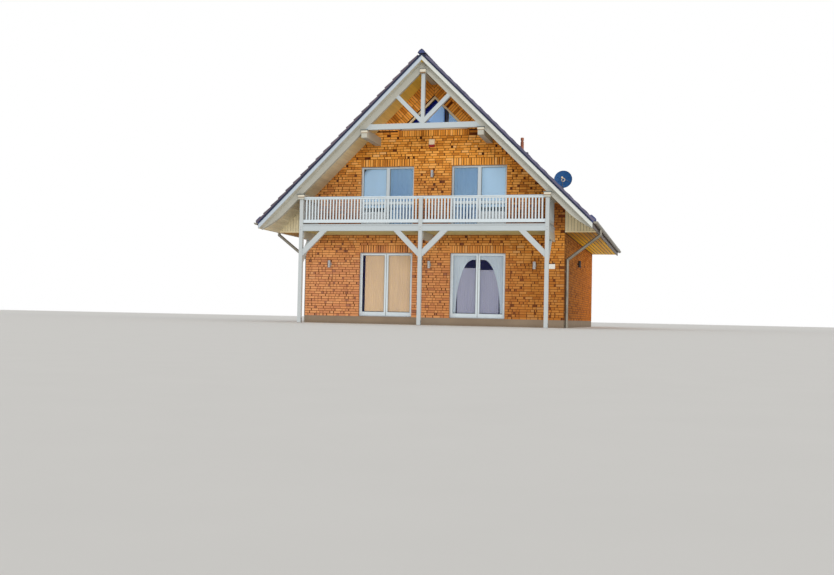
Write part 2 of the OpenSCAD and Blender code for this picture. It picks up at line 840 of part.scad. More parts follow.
module left_unit_left_leaf() {
  color("white") placed() leaf_at(-ground_open_x - ground_open_w, false);
}

module left_unit_right_leaf() {
  color("white") placed() leaf_at(-ground_open_x - ground_open_w, true);
}

module right_unit_left_leaf() {
  color("white") placed() leaf_at(ground_open_x, false);
}

module right_unit_right_leaf() {
  color("white") placed() leaf_at(ground_open_x, true);
}

// One attic window frame with two bars
module attic_frame(y0) {
  along_y(y0, frame_d) {
    difference() {
      attic_outline(0);
      attic_outline(sash_w);
    }
    intersection() {
      attic_outline(0);
      both_sides() translate([attic_bar_x - sash_w / 2, attic_sill_z])
        square([sash_w, attic_tip_z - attic_sill_z]);
    }
  }
}

// Frames of the attic windows and of the back windows
module window_frames() {
  y1 = house_l - reveal - frame_d;
  color("white") placed() {
    attic_frame(frame_y0);
    attic_frame(y1);
    both_sides() {
      paired_frame(ground_open_x, ground_open_w, window_foot, ground_head_z, y1, [], sash_w);
      paired_frame(upper_open_x, upper_open_w, upper_window_foot, upper_head_z, y1, [], sash_w);
    }
  }
}

// Glass in the attic windows
module attic_glass(y0) {
  difference() {
    along_y(y0 + (frame_d - glass_t) / 2, glass_t) attic_outline(sash_w);
    both_sides() block([attic_bar_x - sash_w / 2, y0 - overcut, attic_sill_z],
      [attic_bar_x + sash_w / 2, y0 + frame_d + overcut, attic_tip_z]);
  }
}

module window_glass() {
  y1 = house_l - reveal - frame_d;
  color("lightsteelblue") placed() {
    attic_glass(frame_y0);
    attic_glass(y1);
    both_sides() {
      paired_glass(ground_open_x, ground_open_w, window_foot, ground_head_z, y1, [], sash_w);
      paired_glass(upper_open_x, upper_open_w, upper_window_foot, upper_head_z, y1, [], sash_w);
    }
  }
}

// A round wall lamp on a back plate, with its middle at a height
module wall_lamp(x, z) {
  plate = 12;
  arm = 30;
  translate([x, 0, z]) {
    block([-lamp_r, -plate, -lamp_r], [lamp_r, 0, lamp_r]);
    block([-15, -plate - arm - lamp_r, -15], [15, 0, 15]);
    translate([0, -plate - arm - lamp_r, -lamp_h / 2]) cylinder(r = lamp_r, h = lamp_h);
  }
}

// Wall lamps: three on the ground floor, one on the balcony, one at the right side
module wall_lamps() {
  color("gray") placed() {
    for (x = [880 - half_w, -45, half_w - 960]) wall_lamp(x, 2010);
    wall_lamp(0, 5050);
    translate([half_w, 4250, 0]) rotate([0, 0, 90]) wall_lamp(0, 2300);
  }
}

// Alarm box high on the front gable
module alarm_box() {
  color("white") placed() block([-135, -80, 5950], [60, 0, 6210]);
}

// Blank plate beside the right post
module house_plate() {
  color("white") placed() block([half_w - 530, -15, 1905], [half_w - 295, 0, 2060]);
}

// Satellite dish on a pole that stands on the right slope
module satellite_dish() {
  x = 3640;
  y = 6350;
  pole_r = 24;
  centre_z = roof_z(x, 0) + 510;
  tilt = 10;
  depth = 70;
  bowl_r = (pow(dish_d / 2, 2) + pow(depth, 2)) / (2 * depth);
  wall = 6;
  open_a = asin(dish_d / 2 / bowl_r);
  color("steelblue") placed() {
    difference() {
      translate([x, y + 100, roof_z(x, 0) - 100]) cylinder(r = pole_r, h = 600);
      along_y(y - 200, 500) slope_band(0, eave_x, -lay_gap, 400);
    }
    translate([x, y, centre_z]) rotate([90 - tilt, 0, 0]) {
      translate([0, 0, -depth]) rotate_extrude(angle = 360)
        intersection() {
          translate([0, bowl_r]) difference() {
            circle(r = bowl_r, $fn = 360);
            circle(r = bowl_r - wall, $fn = 360);
          }
          square([dish_d / 2, depth + wall]);
        }
      translate([0, 0, -depth - 55]) cylinder(r = 45, h = 60);
      translate([0, -dish_d / 2 + 20, -10]) rotate([-38, 0, 0]) cylinder(r = 12, h = 460);
      translate([0, -40, 330]) cylinder(r = 30, h = 120, center = true);
    }
  }
}

// Flue pipe and a small vent on the right slope
module roof_pipes() {
  color("saddlebrown") placed()
    difference() {
      union() {
        translate([2385, 4000, roof_z(2385, 0) - 150]) cylinder(r = flue_r, h = 150 + flue_h);
        translate([2565, 4000, roof_z(2565, 0) - 150]) cylinder(r = 55, h = 290);
      }
      along_y(3800, 400) slope_band(0, eave_x, -lay_gap, 500);
    }
}

ground_slab();
front_wall_piers();
front_gable_wall();
rear_wall();
side_walls();
upper_floor();
attic_floor();
rafter_panel();
roof_boards_left();
roof_boards_right();
roof_tiles_left();
roof_tiles_right();
ridge_tiles();
bargeboards();
front_rafters();
ridge_purlin();
mid_purlins();
eaves_purlins();
tie_beam();
king_post();
gable_struts();
balcony_posts();
knee_braces();
balcony_beams();
cross_beams();
balcony_joists();
balcony_deck();
front_railings();
side_railings();
eaves_boxes();
gutters();
downpipes();
balcony_door_frames();
balcony_door_glass();
terrace_door_frames();
left_unit_left_leaf();
left_unit_right_leaf();
right_unit_left_leaf();
right_unit_right_leaf();
window_frames();
window_glass();
wall_lamps();
alarm_box();
house_plate();
satellite_dish();
roof_pipes();
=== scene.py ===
import random
from math import cos, hypot, pi, radians, sin, sqrt, tan

import bmesh
import bpy
from mathutils import Matrix, Vector


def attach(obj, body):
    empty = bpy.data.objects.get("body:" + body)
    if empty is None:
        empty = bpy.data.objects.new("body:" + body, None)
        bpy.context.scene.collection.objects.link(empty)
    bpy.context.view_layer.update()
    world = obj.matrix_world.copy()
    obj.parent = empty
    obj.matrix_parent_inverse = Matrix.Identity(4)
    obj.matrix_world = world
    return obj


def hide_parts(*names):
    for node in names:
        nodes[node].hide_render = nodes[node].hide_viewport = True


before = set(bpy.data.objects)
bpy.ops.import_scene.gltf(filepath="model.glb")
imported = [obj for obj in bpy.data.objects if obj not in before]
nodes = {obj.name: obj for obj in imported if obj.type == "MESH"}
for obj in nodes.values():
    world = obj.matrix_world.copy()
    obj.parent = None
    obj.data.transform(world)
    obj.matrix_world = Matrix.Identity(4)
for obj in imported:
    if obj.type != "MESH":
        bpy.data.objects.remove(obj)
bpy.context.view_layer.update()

# Sizes of the house, in metres
FRONT, REAR, WALL_X = -4.85, 6.05, 4.43  # outer faces of the gables and the side walls
PITCH = radians(44.6)
SLOPE, COS, SIN = tan(PITCH), cos(PITCH), sin(PITCH)
EAVE_X = 5.453
RIDGE = 3.409 + SLOPE * EAVE_X
# how far straight under the tiles' top face each layer lies
BOARD_TOP, BOARD_FOOT, RAFTER_FOOT = 0.135 / COS, 0.238 / COS, 0.423 / COS
BOARDS_END, TILES_END = 6.615, 6.67  # both ways from the middle of the length
POST_X, POST_Y, POST = 4.05, -6.32, 0.12
SOFFIT, CEILING, DECK = 3.1, 3.014, 3.235  # undersides of the eaves and the balcony, top of its deck
GUTTER_X, GUTTER_Z, GUTTER_R = 5.543, 3.265, 0.07
PIPE_X, PIPE_Y = 4.5, -4.6

# openings on the right of the middle: near side, foot, far side, head
GROUND, UPPER = (0.641, 0.25, 2.513, 2.417), (0.641, 3.25, 2.513, 5.333)
GROUND_BACK, UPPER_BACK = (0.641, 1.083, 2.513, 2.417), (0.641, 4.083, 2.513, 5.333)
ATTIC_SILL, ATTIC_TIP = 6.54, RIDGE - 1.08
ATTIC_BARS = ((-0.4585, -0.4015), (0.4015, 0.4585))
FRAME_OUT, GLASS_OUT = -0.11, -0.138  # depths of a fixed frame's outer face and of its glass
DOOR_BACK = FRONT + 0.19  # inner face of the doors

COURSE, JOINT, HEAD_JOINT, WIDE_JOINT = 1 / 12, 0.0135, 0.012, 0.028
STRETCHER, BAT, HEADER, CLOSER = 0.23, 0.168, 0.105, 0.045  # lengths of a brick and its cuts
BRICK_IN, PROUD, BRICK_EDGE = -0.002, 0.004, 0.0025  # depths of a brick's back and face, and its eased edge
BASE = 0.25  # where the brickwork starts
SUNK = -0.0005  # the depth at which a board on a face starts
TIP = 0.0005  # the least radius of a turned profile
CLOTH = 0.0012

X, Y, Z = Vector((1, 0, 0)), Vector((0, 1, 0)), Vector((0, 0, 1))


def roof(x, drop=0.0):
    """Height of a roof layer at a distance from the middle."""
    return RIDGE - SLOPE * abs(x) - drop


def plane(origin, u, v):
    """A face to build on: along it, up it, and out from it."""
    origin, u, v = Vector(origin), Vector(u), Vector(v)
    out = u.cross(v)
    return lambda a, b, c=0.0: origin + u * a + v * b + out * c


def facing_front(x, y, z):
    return plane((x, y, z), X, Z)


def facing_up(x, y, z):
    return plane((x, y, z), X, Y)


FRONT_FACE, REAR_FACE = facing_front(0, FRONT, 0), plane((0, REAR, 0), -X, Z)
RIGHT_FACE, LEFT_FACE = plane((WALL_X, 0, 0), Y, Z), plane((-WALL_X, 0, 0), -Y, Z)
UP, DOWN = facing_up(0, 0, 0), plane((0, 0, 0), X, -Y)
RIGHT_SLOPE = plane((0, 0, RIDGE - BOARD_TOP), Y, (-COS, 0, SIN))
LEFT_SLOPE = plane((0, 0, RIDGE - BOARD_TOP), -Y, (COS, 0, SIN))


# Shapes
def rect(u0, v0, u1, v1):
    return [(u0, v0), (u1, v0), (u1, v1), (u0, v1)]


def inset(box, d):
    """The outline of a (u0, v0, u1, v1) box, drawn in by d."""
    return rect(box[0] + d, box[1] + d, box[2] - d, box[3] - d)


def both(gap):
    """An opening on the left of the middle, and the same one on the right."""
    u0, v0, u1, v1 = gap
    return [(-u1, v0, -u0, v1), gap]


def span(side, near, far):
    """The two ends of what lies between near and far on one side of the middle, in rising order."""
    return sorted((side * near, side * far))


def rounded(u0, v0, u1, v1, r, steps=3):
    """A rectangle with round corners."""
    outline = []
    corners = ((u1 - r, v0 + r, -90), (u1 - r, v1 - r, 0), (u0 + r, v1 - r, 90), (u0 + r, v0 + r, 180))
    for cu, cv, start in corners:
        for i in range(steps + 1):
            a = radians(start + 90 * i / steps)
            outline.append((cu + r * cos(a), cv + r * sin(a)))
    return outline


def plate(half_u, half_v, r):
    return rounded(-half_u, -half_v, half_u, half_v, r)


def arc(r, count, start, turn):
    """Points along an arc, both of its ends among them. Its angles are in degrees."""
    angles = [radians(start + turn * i / (count - 1)) for i in range(count)]
    return [(r * cos(a), r * sin(a)) for a in angles]


def mm(*profile):
    """A profile to be turned, as (radius, depth) in millimetres."""
    return [(max(r / 1000, TIP), d / 1000) for r, d in profile]


def eased(outline, edge):
    """The outline drawn in by an edge, about its middle."""
    us, vs = zip(*outline)
    cu, cv = (min(us) + max(us)) / 2, (min(vs) + max(vs)) / 2
    ku = max(0.05, 1 - 2 * edge / max(max(us) - min(us), 1e-6))
    kv = max(0.05, 1 - 2 * edge / max(max(vs) - min(vs), 1e-6))
    return [(cu + (u - cu) * ku, cv + (v - cv) * kv) for u, v in outline]


def clip(outline, a, b, c):
    """The part of an outline where a u + b v is at most c."""
    kept = []
    for (u0, v0), (u1, v1) in zip(outline, outline[1:] + outline[:1]):
        d0, d1 = a * u0 + b * v0 - c, a * u1 + b * v1 - c
        if d0 <= 0:
            kept.append((u0, v0))
        if d0 < 0 < d1 or d1 < 0 < d0:
            t = d0 / (d0 - d1)
            kept.append((u0 + t * (u1 - u0), v0 + t * (v1 - v0)))
    return kept


def area(outline):
    return abs(sum(a[0] * b[1] - b[0] * a[1] for a, b in zip(outline, outline[1:] + outline[:1]))) / 2


class Shape:
    """Points and faces of one piece, with a tone and a part for each face."""

    def __init__(self):
        self.points, self.faces, self.tones, self.parts = [], [], [], []

    def add(self, points, faces, tone=0.5, part=0):
        start = len(self.points)
        self.points += points
        for face in faces:
            self.faces.append([start + i for i in face])
            self.tones.append(tone)
            self.parts.append(part)

    def loft(self, rings, closed=False, **look):
        """A skin through rings of points, with flat ends unless it comes round to its start."""
        n, count = len(rings[0]), len(rings)
        faces = []
        for k in range(count if closed else count - 1):
            a, b = k * n, (k + 1) % count * n
            faces += [(a + i, a + (i + 1) % n, b + (i + 1) % n, b + i) for i in range(n)]
        if not closed:
            faces += [tuple(reversed(range(n))), tuple(range((count - 1) * n, count * n))]
        self.add([p for ring in rings for p in ring], faces, **look)

    def bent(self, rings, **look):
        """A skin through rings that go along an arc and back. Each end is a row of narrow faces."""
        n, last = len(rings[0]), (len(rings) - 1) * len(rings[0])
        faces = [(a + j, a + (j + 1) % n, a + n + (j + 1) % n, a + n + j)
                 for a in range(0, last, n) for j in range(n)]
        faces += [(a + j, a + j + 1, a + n - 2 - j, a + n - 1 - j)
                  for a in (0, last) for j in range(n // 2 - 1)]
        self.add([p for ring in rings for p in ring], faces, **look)

    def slab(self, at, outline, low, high, edge=0.0, both_edges=False, **look):
        """An outline drawn out between two depths, its outer edges eased."""
        levels = [(low + edge if both_edges else low, 0), (high - edge, 0)]
        if edge:
            levels.append((high, edge))
        if both_edges and edge:
            levels.insert(0, (low, edge))
        self.loft([[at(u, v, d) for u, v in (eased(outline, e) if e else outline)] for d, e in levels],
                  **look)

    def box(self, low, high, edge=0.002, **look):
        """A block with its edges eased."""
        e = min(edge, *((h - l) / 3 for l, h in zip(low, high)))
        self.slab(UP, rounded(*low[:2], *high[:2], e, 1), low[2], high[2], e, True, **look)

    def turned(self, at, profile, count=24, closed=False, **look):
        """A profile of (radius, depth) turned round the line out from a face. A closed one is a ring's."""
        angles = [2 * pi * i / count for i in range(count)]
        self.loft([[at(r * cos(a), r * sin(a), d) for a in angles] for r, d in profile], closed, **look)

    def rod(self, start, end, r, count=12, edge=0.0):
        start, end = Vector(start), Vector(end)
        out = (end - start).normalized()
        u = out.orthogonal().normalized()
        length = (end - start).length
        profile = [(r, 0), (r, length)]
        if edge:
            profile = [(r - edge, 0), (r, edge), (r, length - edge), (r - edge, length)]
        self.turned(plane(start, u, out.cross(u)), profile, count)

    def ring(self, at, outer, inner, low, high, edge=0.0, **look):
        """A flat frame between an outer and an inner outline of as many points."""
        levels = [(inner, low), (outer, low)]
        if edge:
            levels += [(outer, high - edge), (eased(outer, edge), high),
                       (eased(inner, -edge), high), (inner, high - edge)]
        else:
            levels += [(outer, high), (inner, high)]
        self.loft([[at(u, v, d) for u, v in outline] for outline, d in levels], True, **look)

    def cloth(self, place, across, down):
        """A closed thin sheet. place(s, t) gives a point and the way out from the cloth."""
        grid = []
        for side in (-0.5, 0.5):
            for j in range(down + 1):
                for i in range(across + 1):
                    point, out = place(i / across, j / down)
                    grid.append(point + out * CLOTH * side)
        w = across + 1
        back = w * (down + 1)
        faces = []
        for j in range(down):
            for i in range(across):
                a = j * w + i
                b = back + a
                faces += [(a, a + w, a + w + 1, a + 1), (b, b + 1, b + w + 1, b + w)]
        rim = [j * w for j in range(down + 1)] + [down * w + i for i in range(1, w)]
        rim += [j * w + across for j in reversed(range(down))] + list(range(across - 1, 0, -1))
        faces += [(a, back + a, back + b, b) for a, b in zip(rim, rim[1:] + rim[:1])]
        self.add(grid, faces)


def make(name, shape, finishes, body="house", smooth=0, stands_for=()):
    """One piece of the house from a shape. Its parts take the finishes in order."""
    mesh = bpy.data.meshes.new(name)
    mesh.from_pydata([tuple(p) for p in shape.points], [], shape.faces)
    bm = bmesh.new()
    bm.from_mesh(mesh)
    bmesh.ops.recalc_face_normals(bm, faces=bm.faces)
    bm.to_mesh(mesh)
    bm.free()
    mesh.attributes.new("tone", "FLOAT", "FACE").data.foreach_set("value", shape.tones)
    for finish in finishes if isinstance(finishes, list) else [finishes]:
        mesh.materials.append(finish)
    mesh.polygons.foreach_set("material_index", shape.parts)
    if smooth:
        mesh.shade_smooth()
        mesh.set_sharp_from_angle(angle=radians(smooth))
    piece = bpy.data.objects.new(name, mesh)
    bpy.context.scene.collection.objects.link(piece)
    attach(piece, body)
    if stands_for:
        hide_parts(*stands_for)
    return piece


# Finishes
def shaded(colour, k):
    """A colour as it is seen on a screen, times k, as the shader takes it."""
    linear = (((c / 255 + 0.055) / 1.055) ** 2.4 if c > 10 else c / 255 / 12.92 for c in colour)
    return tuple(min(1.0, c * k) for c in linear) + (1.0,)


def paint(r, g, b):
    return shaded((r, g, b), 1)


class Value:
    """A socket of a finish. Sums on it add Math nodes."""

    def __init__(self, tree, socket):
        self.tree, self.socket = tree, socket

    def math(self, how, a, b):
        return self.tree.node("ShaderNodeMath", {"operation": how}, {0: a, 1: b})

    def __add__(self, other):
        return self.math("ADD", self, other)

    def __sub__(self, other):
        return self.math("SUBTRACT", self, other)

    def __rsub__(self, other):
        return self.math("SUBTRACT", other, self)

    def __mul__(self, other):
        return self.math("MULTIPLY", self, other)

    def __gt__(self, other):
        return self.math("GREATER_THAN", self, other)

    def __lt__(self, other):
        return self.math("LESS_THAN", self, other)

    __radd__, __rmul__ = __add__, __mul__

    def clear(self):
        """The same value, held between 0 and 1."""
        return self.tree.node("ShaderNodeMath", {"operation": "ADD", "use_clamp": True}, {0: self, 1: 0.0})


class Nodes:
    """A node tree that is written as sums."""

    def __init__(self, tree):
        self.tree = tree

    def node(self, kind, settings=None, inputs=None, out=0):
        made = self.tree.nodes.new(kind)
        for name, value in (settings or {}).items():
            if name == "stops":
                ramp = made.color_ramp.elements
                ramp[0].position, ramp[0].color = value[0]
                ramp[1].position, ramp[1].color = value[-1]
                for at, colour in value[1:-1]:
                    ramp.new(at).color = colour
            else:
                setattr(made, name, value)
        for name, value in (inputs or {}).items():
            self.feed(made, name, value)
        return Value(self, made.outputs[out])

    def feed(self, made, name, value):
        if isinstance(value, Value):
            self.tree.links.new(value.socket, made.inputs[name])
        else:
            made.inputs[name].default_value = value


class Finish(Nodes):
    """One material of the house: its nodes and the shader at their end."""

    def __init__(self, name, **fixed):
        self.material = bpy.data.materials.new(name)
        self.material.use_nodes = True
        super().__init__(self.material.node_tree)
        self.shader = self.tree.nodes["Principled BSDF"]
        self.place = self.node("ShaderNodeTexCoord", out="Object")
        for key, value in fixed.items():
            self.feed(self.shader, key.replace("_", " "), value)

    def tone(self):
        return self.node("ShaderNodeAttribute", {"attribute_name": "tone"}, out="Fac")

    def axis(name):
        """How far a point lies along one axis of the house."""
        return property(lambda self: self.node("ShaderNodeSeparateXYZ", inputs={0: self.place}, out=name))

    x, y, z = axis("X"), axis("Y"), axis("Z")

    def off_middle(self):
        """How far a point lies from the middle plane of the house."""
        return self.node("ShaderNodeMath", {"operation": "ABSOLUTE"}, {0: self.x})

    def stretched(self, x, y, z):
        return self.node("ShaderNodeVectorMath", {"operation": "MULTIPLY"}, {0: self.place, 1: (x, y, z)})

    def noise(self, scale, detail=3.0, rough=0.55, over=None):
        return self.node("ShaderNodeTexNoise", inputs={
            "Vector": over or self.place, "Scale": scale, "Detail": detail, "Roughness": rough})

    def mix(self, factor, a, b, how="MIX"):
        settings = {"data_type": "RGBA", "blend_type": how}
        return self.node("ShaderNodeMix", settings, {0: factor, 6: a, 7: b}, out=2)

    def shades(self, factor, colour, low, high):
        """A colour from low times itself to high times itself."""
        return self.mix(factor, shaded(colour, low), shaded(colour, high))

    def band(self, value, low, high):
        """0 under low, 1 over high, and a slope between them."""
        return ((value - low) * (1 / (high - low))).clear()

    def wear(self, scale):
        """Soft patches where weather has got at the surface."""
        return self.band(self.noise(scale, 5.0, 0.62), 0.52, 0.72)

    def relief(self, height, distance, strength):
        bump = self.node("ShaderNodeBump", inputs={
            "Strength": strength, "Distance": distance, "Height": height})
        self.feed(self.shader, "Normal", bump)

    def done(self, colour, rough):
        self.feed(self.shader, "Base Color", colour)
        self.feed(self.shader, "Roughness", rough)
        return self.material


def brick_finish():
    """Yellow-brown bricks with painted light and shade: redder low down, browner behind the railing, and
    browner on the side walls, dark at their front and bright towards the back.
    """
    f = Finish("fired_brick", Specular_IOR_Level=0.1)
    fine, coarse = f.noise(55, 4), f.noise(7, 3)
    tone = f.tone() + (fine - 0.5) * 0.22 + (coarse - 0.5) * 0.12
    stops = ((0.0, paint(70, 32, 14)), (0.14, paint(112, 58, 24)), (0.3, paint(210, 134, 50)),
             (0.55, paint(236, 160, 68)), (0.8, paint(246, 176, 88)), (1.0, paint(242, 184, 112)))
    colour = f.node("ShaderNodeValToRGB", {"stops": stops}, {0: tone.clear()})
    # painted shade: a salmon tint on the left and a brown one on the right, strongest low down under the
    # balcony and gone near the gable's top
    across = f.band(f.x, -1.6, 3.4)
    low = 0.66 - f.band(f.z, 1.9, 2.9) * 0.34 - f.band(f.z, 4.4, 5.6) * 0.32
    colour = f.mix(low, colour, f.mix(across, paint(184, 128, 104), paint(122, 68, 32)))
    # painted shade behind the railing: browner bricks between the deck and the top of the rail
    painted_shade_behind_rail = f.band(f.z, 3.1, 3.3) * f.band(f.z, 4.3, 4.0)
    colour = f.mix(painted_shade_behind_rail * (f.y < 0) * 0.4, colour, paint(132, 62, 44))
    # painted light on the side walls: dark at the front and bright orange towards the back, where warm low
    # light falls
    beside = f.off_middle() > WALL_X - 0.003
    far = f.band(f.y, FRONT, REAR)
    colour = f.mix(beside * 0.6, colour, f.mix(far, paint(96, 54, 6), paint(206, 112, 4)))
    colour = f.mix(beside * f.band(tone, 0.5, 0.1) * 0.7, colour, paint(64, 30, 6))
    soot = f.band(f.noise(1.3, 4), 0.55, 0.8) * 0.25
    colour = f.mix(soot, colour, paint(120, 70, 40), "MULTIPLY")
    f.relief(fine + f.noise(160, 2) * 0.5, 0.0018, 0.8)
    return f.done(colour, 0.82 + fine * 0.14)


def mortar_finish():
    """Mortar on the outer faces of a wall, and plaster on its inner ones."""
    f = Finish("mortar_and_plaster", Specular_IOR_Level=0.2)
    inside = (f.y > FRONT + 0.2) * (f.y < REAR - 0.2) * (f.off_middle() < WALL_X - 0.2)
    grit, patch = f.noise(240, 3), f.noise(2.2, 4)
    joint = f.mix((patch * 0.7 + grit * 0.3).clear(), paint(62, 32, 16), paint(94, 54, 28))
    plaster = f.mix(patch, paint(214, 210, 200), paint(230, 227, 219))
    f.relief(grit + patch, 0.0012, 0.6)
    return f.done(f.mix(inside, joint, plaster), 0.9 + grit * 0.08)


def render_finish(name, low, high, scale=1.0):
    """Trowelled cement or concrete, darker where it meets the ground."""
    f = Finish(name, Specular_IOR_Level=0.25)
    patch, grit = f.noise(1.6 * scale, 5), f.noise(120, 3)
    damp = f.band(f.z, 0.12, 0.0)
    colour = f.mix((patch * 0.8 + grit * 0.25).clear(), paint(*low), paint(*high))
    f.relief(grit * 0.6 + patch, 0.003, 0.7)
    return f.done(f.mix(damp * 0.35, colour, shaded(low, 0.5)), 0.84 + grit * 0.12)


def timber_finish(name, colour, along, spread=0.1, rough=0.5, wear=0.25, knots=False, other=None,
                  where=None, gloss=0.35):
    """Planed wood under paint or stain, its grain along one axis. where is the part in the other colour."""
    f = Finish(name, Specular_IOR_Level=gloss)
    scale = [34.0, 34.0, 34.0]
    scale[along] = 1.6
    grain = f.noise(1.0, 6, 0.62, f.stretched(*scale))
    streak = f.noise(3.0, 3, 0.5, f.stretched(*(s / 6 for s in scale)))
    patch = f.noise(0.9, 4)
    light = (0.5 + (grain - 0.5) * 0.8 + (streak - 0.5) * 0.7 + (patch - 0.5) * 0.6
             + (f.tone() - 0.5) * 1.2).clear()
    base = f.shades(light, colour, 1 - spread, 1 + spread)
    base = f.mix(f.wear(1.7) * grain * wear, base, shaded(colour, 0.62))
    if other:
        base = f.mix(where(f), base, f.shades(light, other, 1 - spread, 1 + spread))
    if knots:
        spots = f.node("ShaderNodeTexVoronoi", inputs={
            "Vector": f.stretched(*(s / 9 for s in scale)), "Scale": 1.0})
        base = f.mix(f.band(spots, 0.1, 0.03) * 0.35, base, shaded(colour, 0.45))
    f.relief(grain + streak * 0.5, 0.0012, 0.5)
    return f.done(base, rough + (grain - 0.5) * 0.16 + (patch - 0.5) * 0.14)


def tile_finish():
    """Dull glazed tiles, plum on the left slope and slate blue on the right one: the two colours are painted
    light, as the same tiles are lit differently on each slope.
    """
    f = Finish("roof_tile_clay", Specular_IOR_Level=0.4)
    fine, patch = f.noise(42, 4), f.noise(0.8, 5)
    light = (f.tone() * 0.6 + (fine - 0.5) * 0.5 + (patch - 0.5) * 0.7 + 0.2).clear()
    plum = f.mix(light, paint(50, 44, 56), paint(98, 86, 100))
    slate = f.mix(light, paint(48, 50, 72), paint(98, 94, 120))
    colour = f.mix(f.band(f.x, -0.1, 0.1), plum, slate)
    moss = f.band(f.noise(2.4, 6, 0.7), 0.62, 0.74) * f.band(f.noise(30, 2), 0.4, 0.6)
    colour = f.mix(moss * 0.35, colour, paint(120, 122, 108))
    f.relief(fine + f.noise(150, 2) * 0.4, 0.0015, 0.6)
    return f.done(colour, 0.42 + fine * 0.22 + moss * 0.2)


def metal_finish(name, colour, metallic, rough, streak_along=2, stain=None):
    """Metal with weather streaks along one axis."""
    f = Finish(name, Metallic=metallic)
    scale = [18.0, 18.0, 18.0]
    scale[streak_along] = 2.0
    streak, patch = f.noise(1.0, 4, 0.6, f.stretched(*scale)), f.noise(3.0, 4)
    base = f.shades((streak * 0.6 + patch * 0.5).clear(), colour, 0.82, 1.15)
    if stain:
        base = f.mix(f.wear(2.6) * 0.6, base, paint(*stain))
    f.relief(streak + patch, 0.0006, 0.35)
    return f.done(base, rough + (patch - 0.5) * 0.2)


def moulded_finish(name, colour, rough, other=None, where=None):
    """Moulded plastic with a fine skin and a little dirt."""
    f = Finish(name, Specular_IOR_Level=0.45)
    skin, patch = f.noise(300.0, 2), f.noise(2.5, 5)
    base = f.shades(patch, colour, 0.95, 1.03)
    if other:
        base = f.mix(where(f), base, f.shades(patch, other, 0.95, 1.03))
    base = f.mix(f.wear(3.0) * 0.12, base, shaded(colour, 0.55))
    f.relief(skin, 0.0003, 0.4)
    return f.done(base, rough + (patch - 0.5) * 0.16 + (skin - 0.5) * 0.06)


def glass_finish(name, colour, alpha, coated=0.0, other=None, where=None):
    """Glass whose colour is its own tint, or, through a metallic coat, a painted blue reflection."""
    f = Finish(name, IOR=1.5, Metallic=coated)
    smear = f.noise(1.4, 4, 0.6, f.stretched(1.0, 1.0, 0.45))
    f.feed(f.shader, "Alpha", (alpha + (smear - 0.5) * 0.1).clear())
    tint = f.shades(smear, colour, 0.85, 1.12)
    if other:
        tint = f.mix(where(f), tint, paint(*other))
    return f.done(tint, 0.03 + smear * 0.05)


def cloth_finish(name, colour, alpha=1.0, other=None, where=None):
    """Woven cloth. A net lets a little light through between its threads."""
    f = Finish(name, Specular_IOR_Level=0.15)
    threads = f.noise(900.0, 2)
    fold = f.noise(1.0, 3, 0.5, f.stretched(9.0, 9.0, 0.5))
    base = f.shades((fold * 0.8 + threads * 0.25).clear(), colour, 0.86, 1.08)
    if other:
        base = f.mix(where(f), base, f.shades(threads, other, 0.9, 1.1))
    f.relief(threads, 0.0004, 0.6)
    if alpha < 1:
        f.feed(f.shader, "Alpha", (alpha + (threads - 0.5) * 0.4).clear())
    return f.done(base, 0.85 + (threads - 0.5) * 0.1)


def painted_shade_under_ridge(f):
    """Painted shade: the front attic panes along the left slope, where the left rafter's shade falls, and a
    strip beside their right bar, where the gap between the screens is dark.
    """
    upper = f.band(f.x * SLOPE + ATTIC_TIP - f.z, 0.36, 0.3)
    beside_bar = (f.x > 0.335) * (f.x < 0.48)
    return (upper + beside_bar).clear() * (f.y < 0) * (f.z > ATTIC_SILL)


brick, mortar, tile = brick_finish(), mortar_finish(), tile_finish()
plinth = render_finish("plinth_render", (112, 98, 84), (142, 126, 108))
screed = render_finish("floor_screed", (150, 146, 138), (176, 171, 162), 0.6)
# painted shadow: the battens and the layer under the tiles are dark navy, so their ends show as the shadow
# line under the tiles
batten = timber_finish("battens_in_painted_shadow", (24, 36, 66), 1, rough=0.8)
cream_x = timber_finish("cream_timber_across", (180, 180, 171), 0)
cream_y = timber_finish("cream_timber_along", (182, 181, 170), 1)
white_x = timber_finish("white_timber_across", (179, 188, 193), 0, 0.07)
white_z = timber_finish("white_timber_upright", (180, 187, 190), 2, 0.07)
# painted light: a lighter copy of the white paint, for the front railing's shaded balusters
rail_white = timber_finish("railing_paint_painted_light", (198, 209, 216), 2, 0.06)
# painted shade: the left bargeboard takes a darker, bluer copy of the same white paint
verge_white = timber_finish("verge_board_paint", (204, 208, 204), 1, 0.06, other=(176, 188, 200),
                            where=lambda f: f.x < 0)
cap_cream = timber_finish("purlin_cap_paint", (204, 198, 182), 0, 0.08)
# painted shade: the brown seat is the shade under each purlin's end cap
seat_brown = timber_finish("purlin_seat_painted_shade", (132, 104, 74), 0, 0.12)
soffit_tan = timber_finish("soffit_boards_stain", (214, 206, 178), 1, 0.14, 0.55, knots=True,
                           other=(232, 196, 84), where=lambda f: f.band(f.z, 5.4, 7.8))  # painted warm shade, golden towards the ridge
eaves_gold = timber_finish("eaves_boards_stain", (184, 132, 34), 1, 0.16, wear=0.1, knots=True, gloss=0.08,
                           other=(255, 196, 8), where=lambda f: f.band(f.y, -3.5, 1.0))  # painted warm light, brighter gold towards the back
ceiling_tan = timber_finish("ceiling_boards_stain", (188, 180, 126), 0, 0.14, 0.55, knots=True)
closure_tan = timber_finish("closure_boards_stain", (222, 210, 176), 2, 0.12, 0.55)
eaves_back = timber_finish("eaves_boards_back", (84, 72, 66), 1, other=(44, 30, 16),
                           where=lambda f: f.off_middle() < EAVE_X - 0.001)  # painted shade: the fascia under the gutter, and darker still where the box shows between the boards
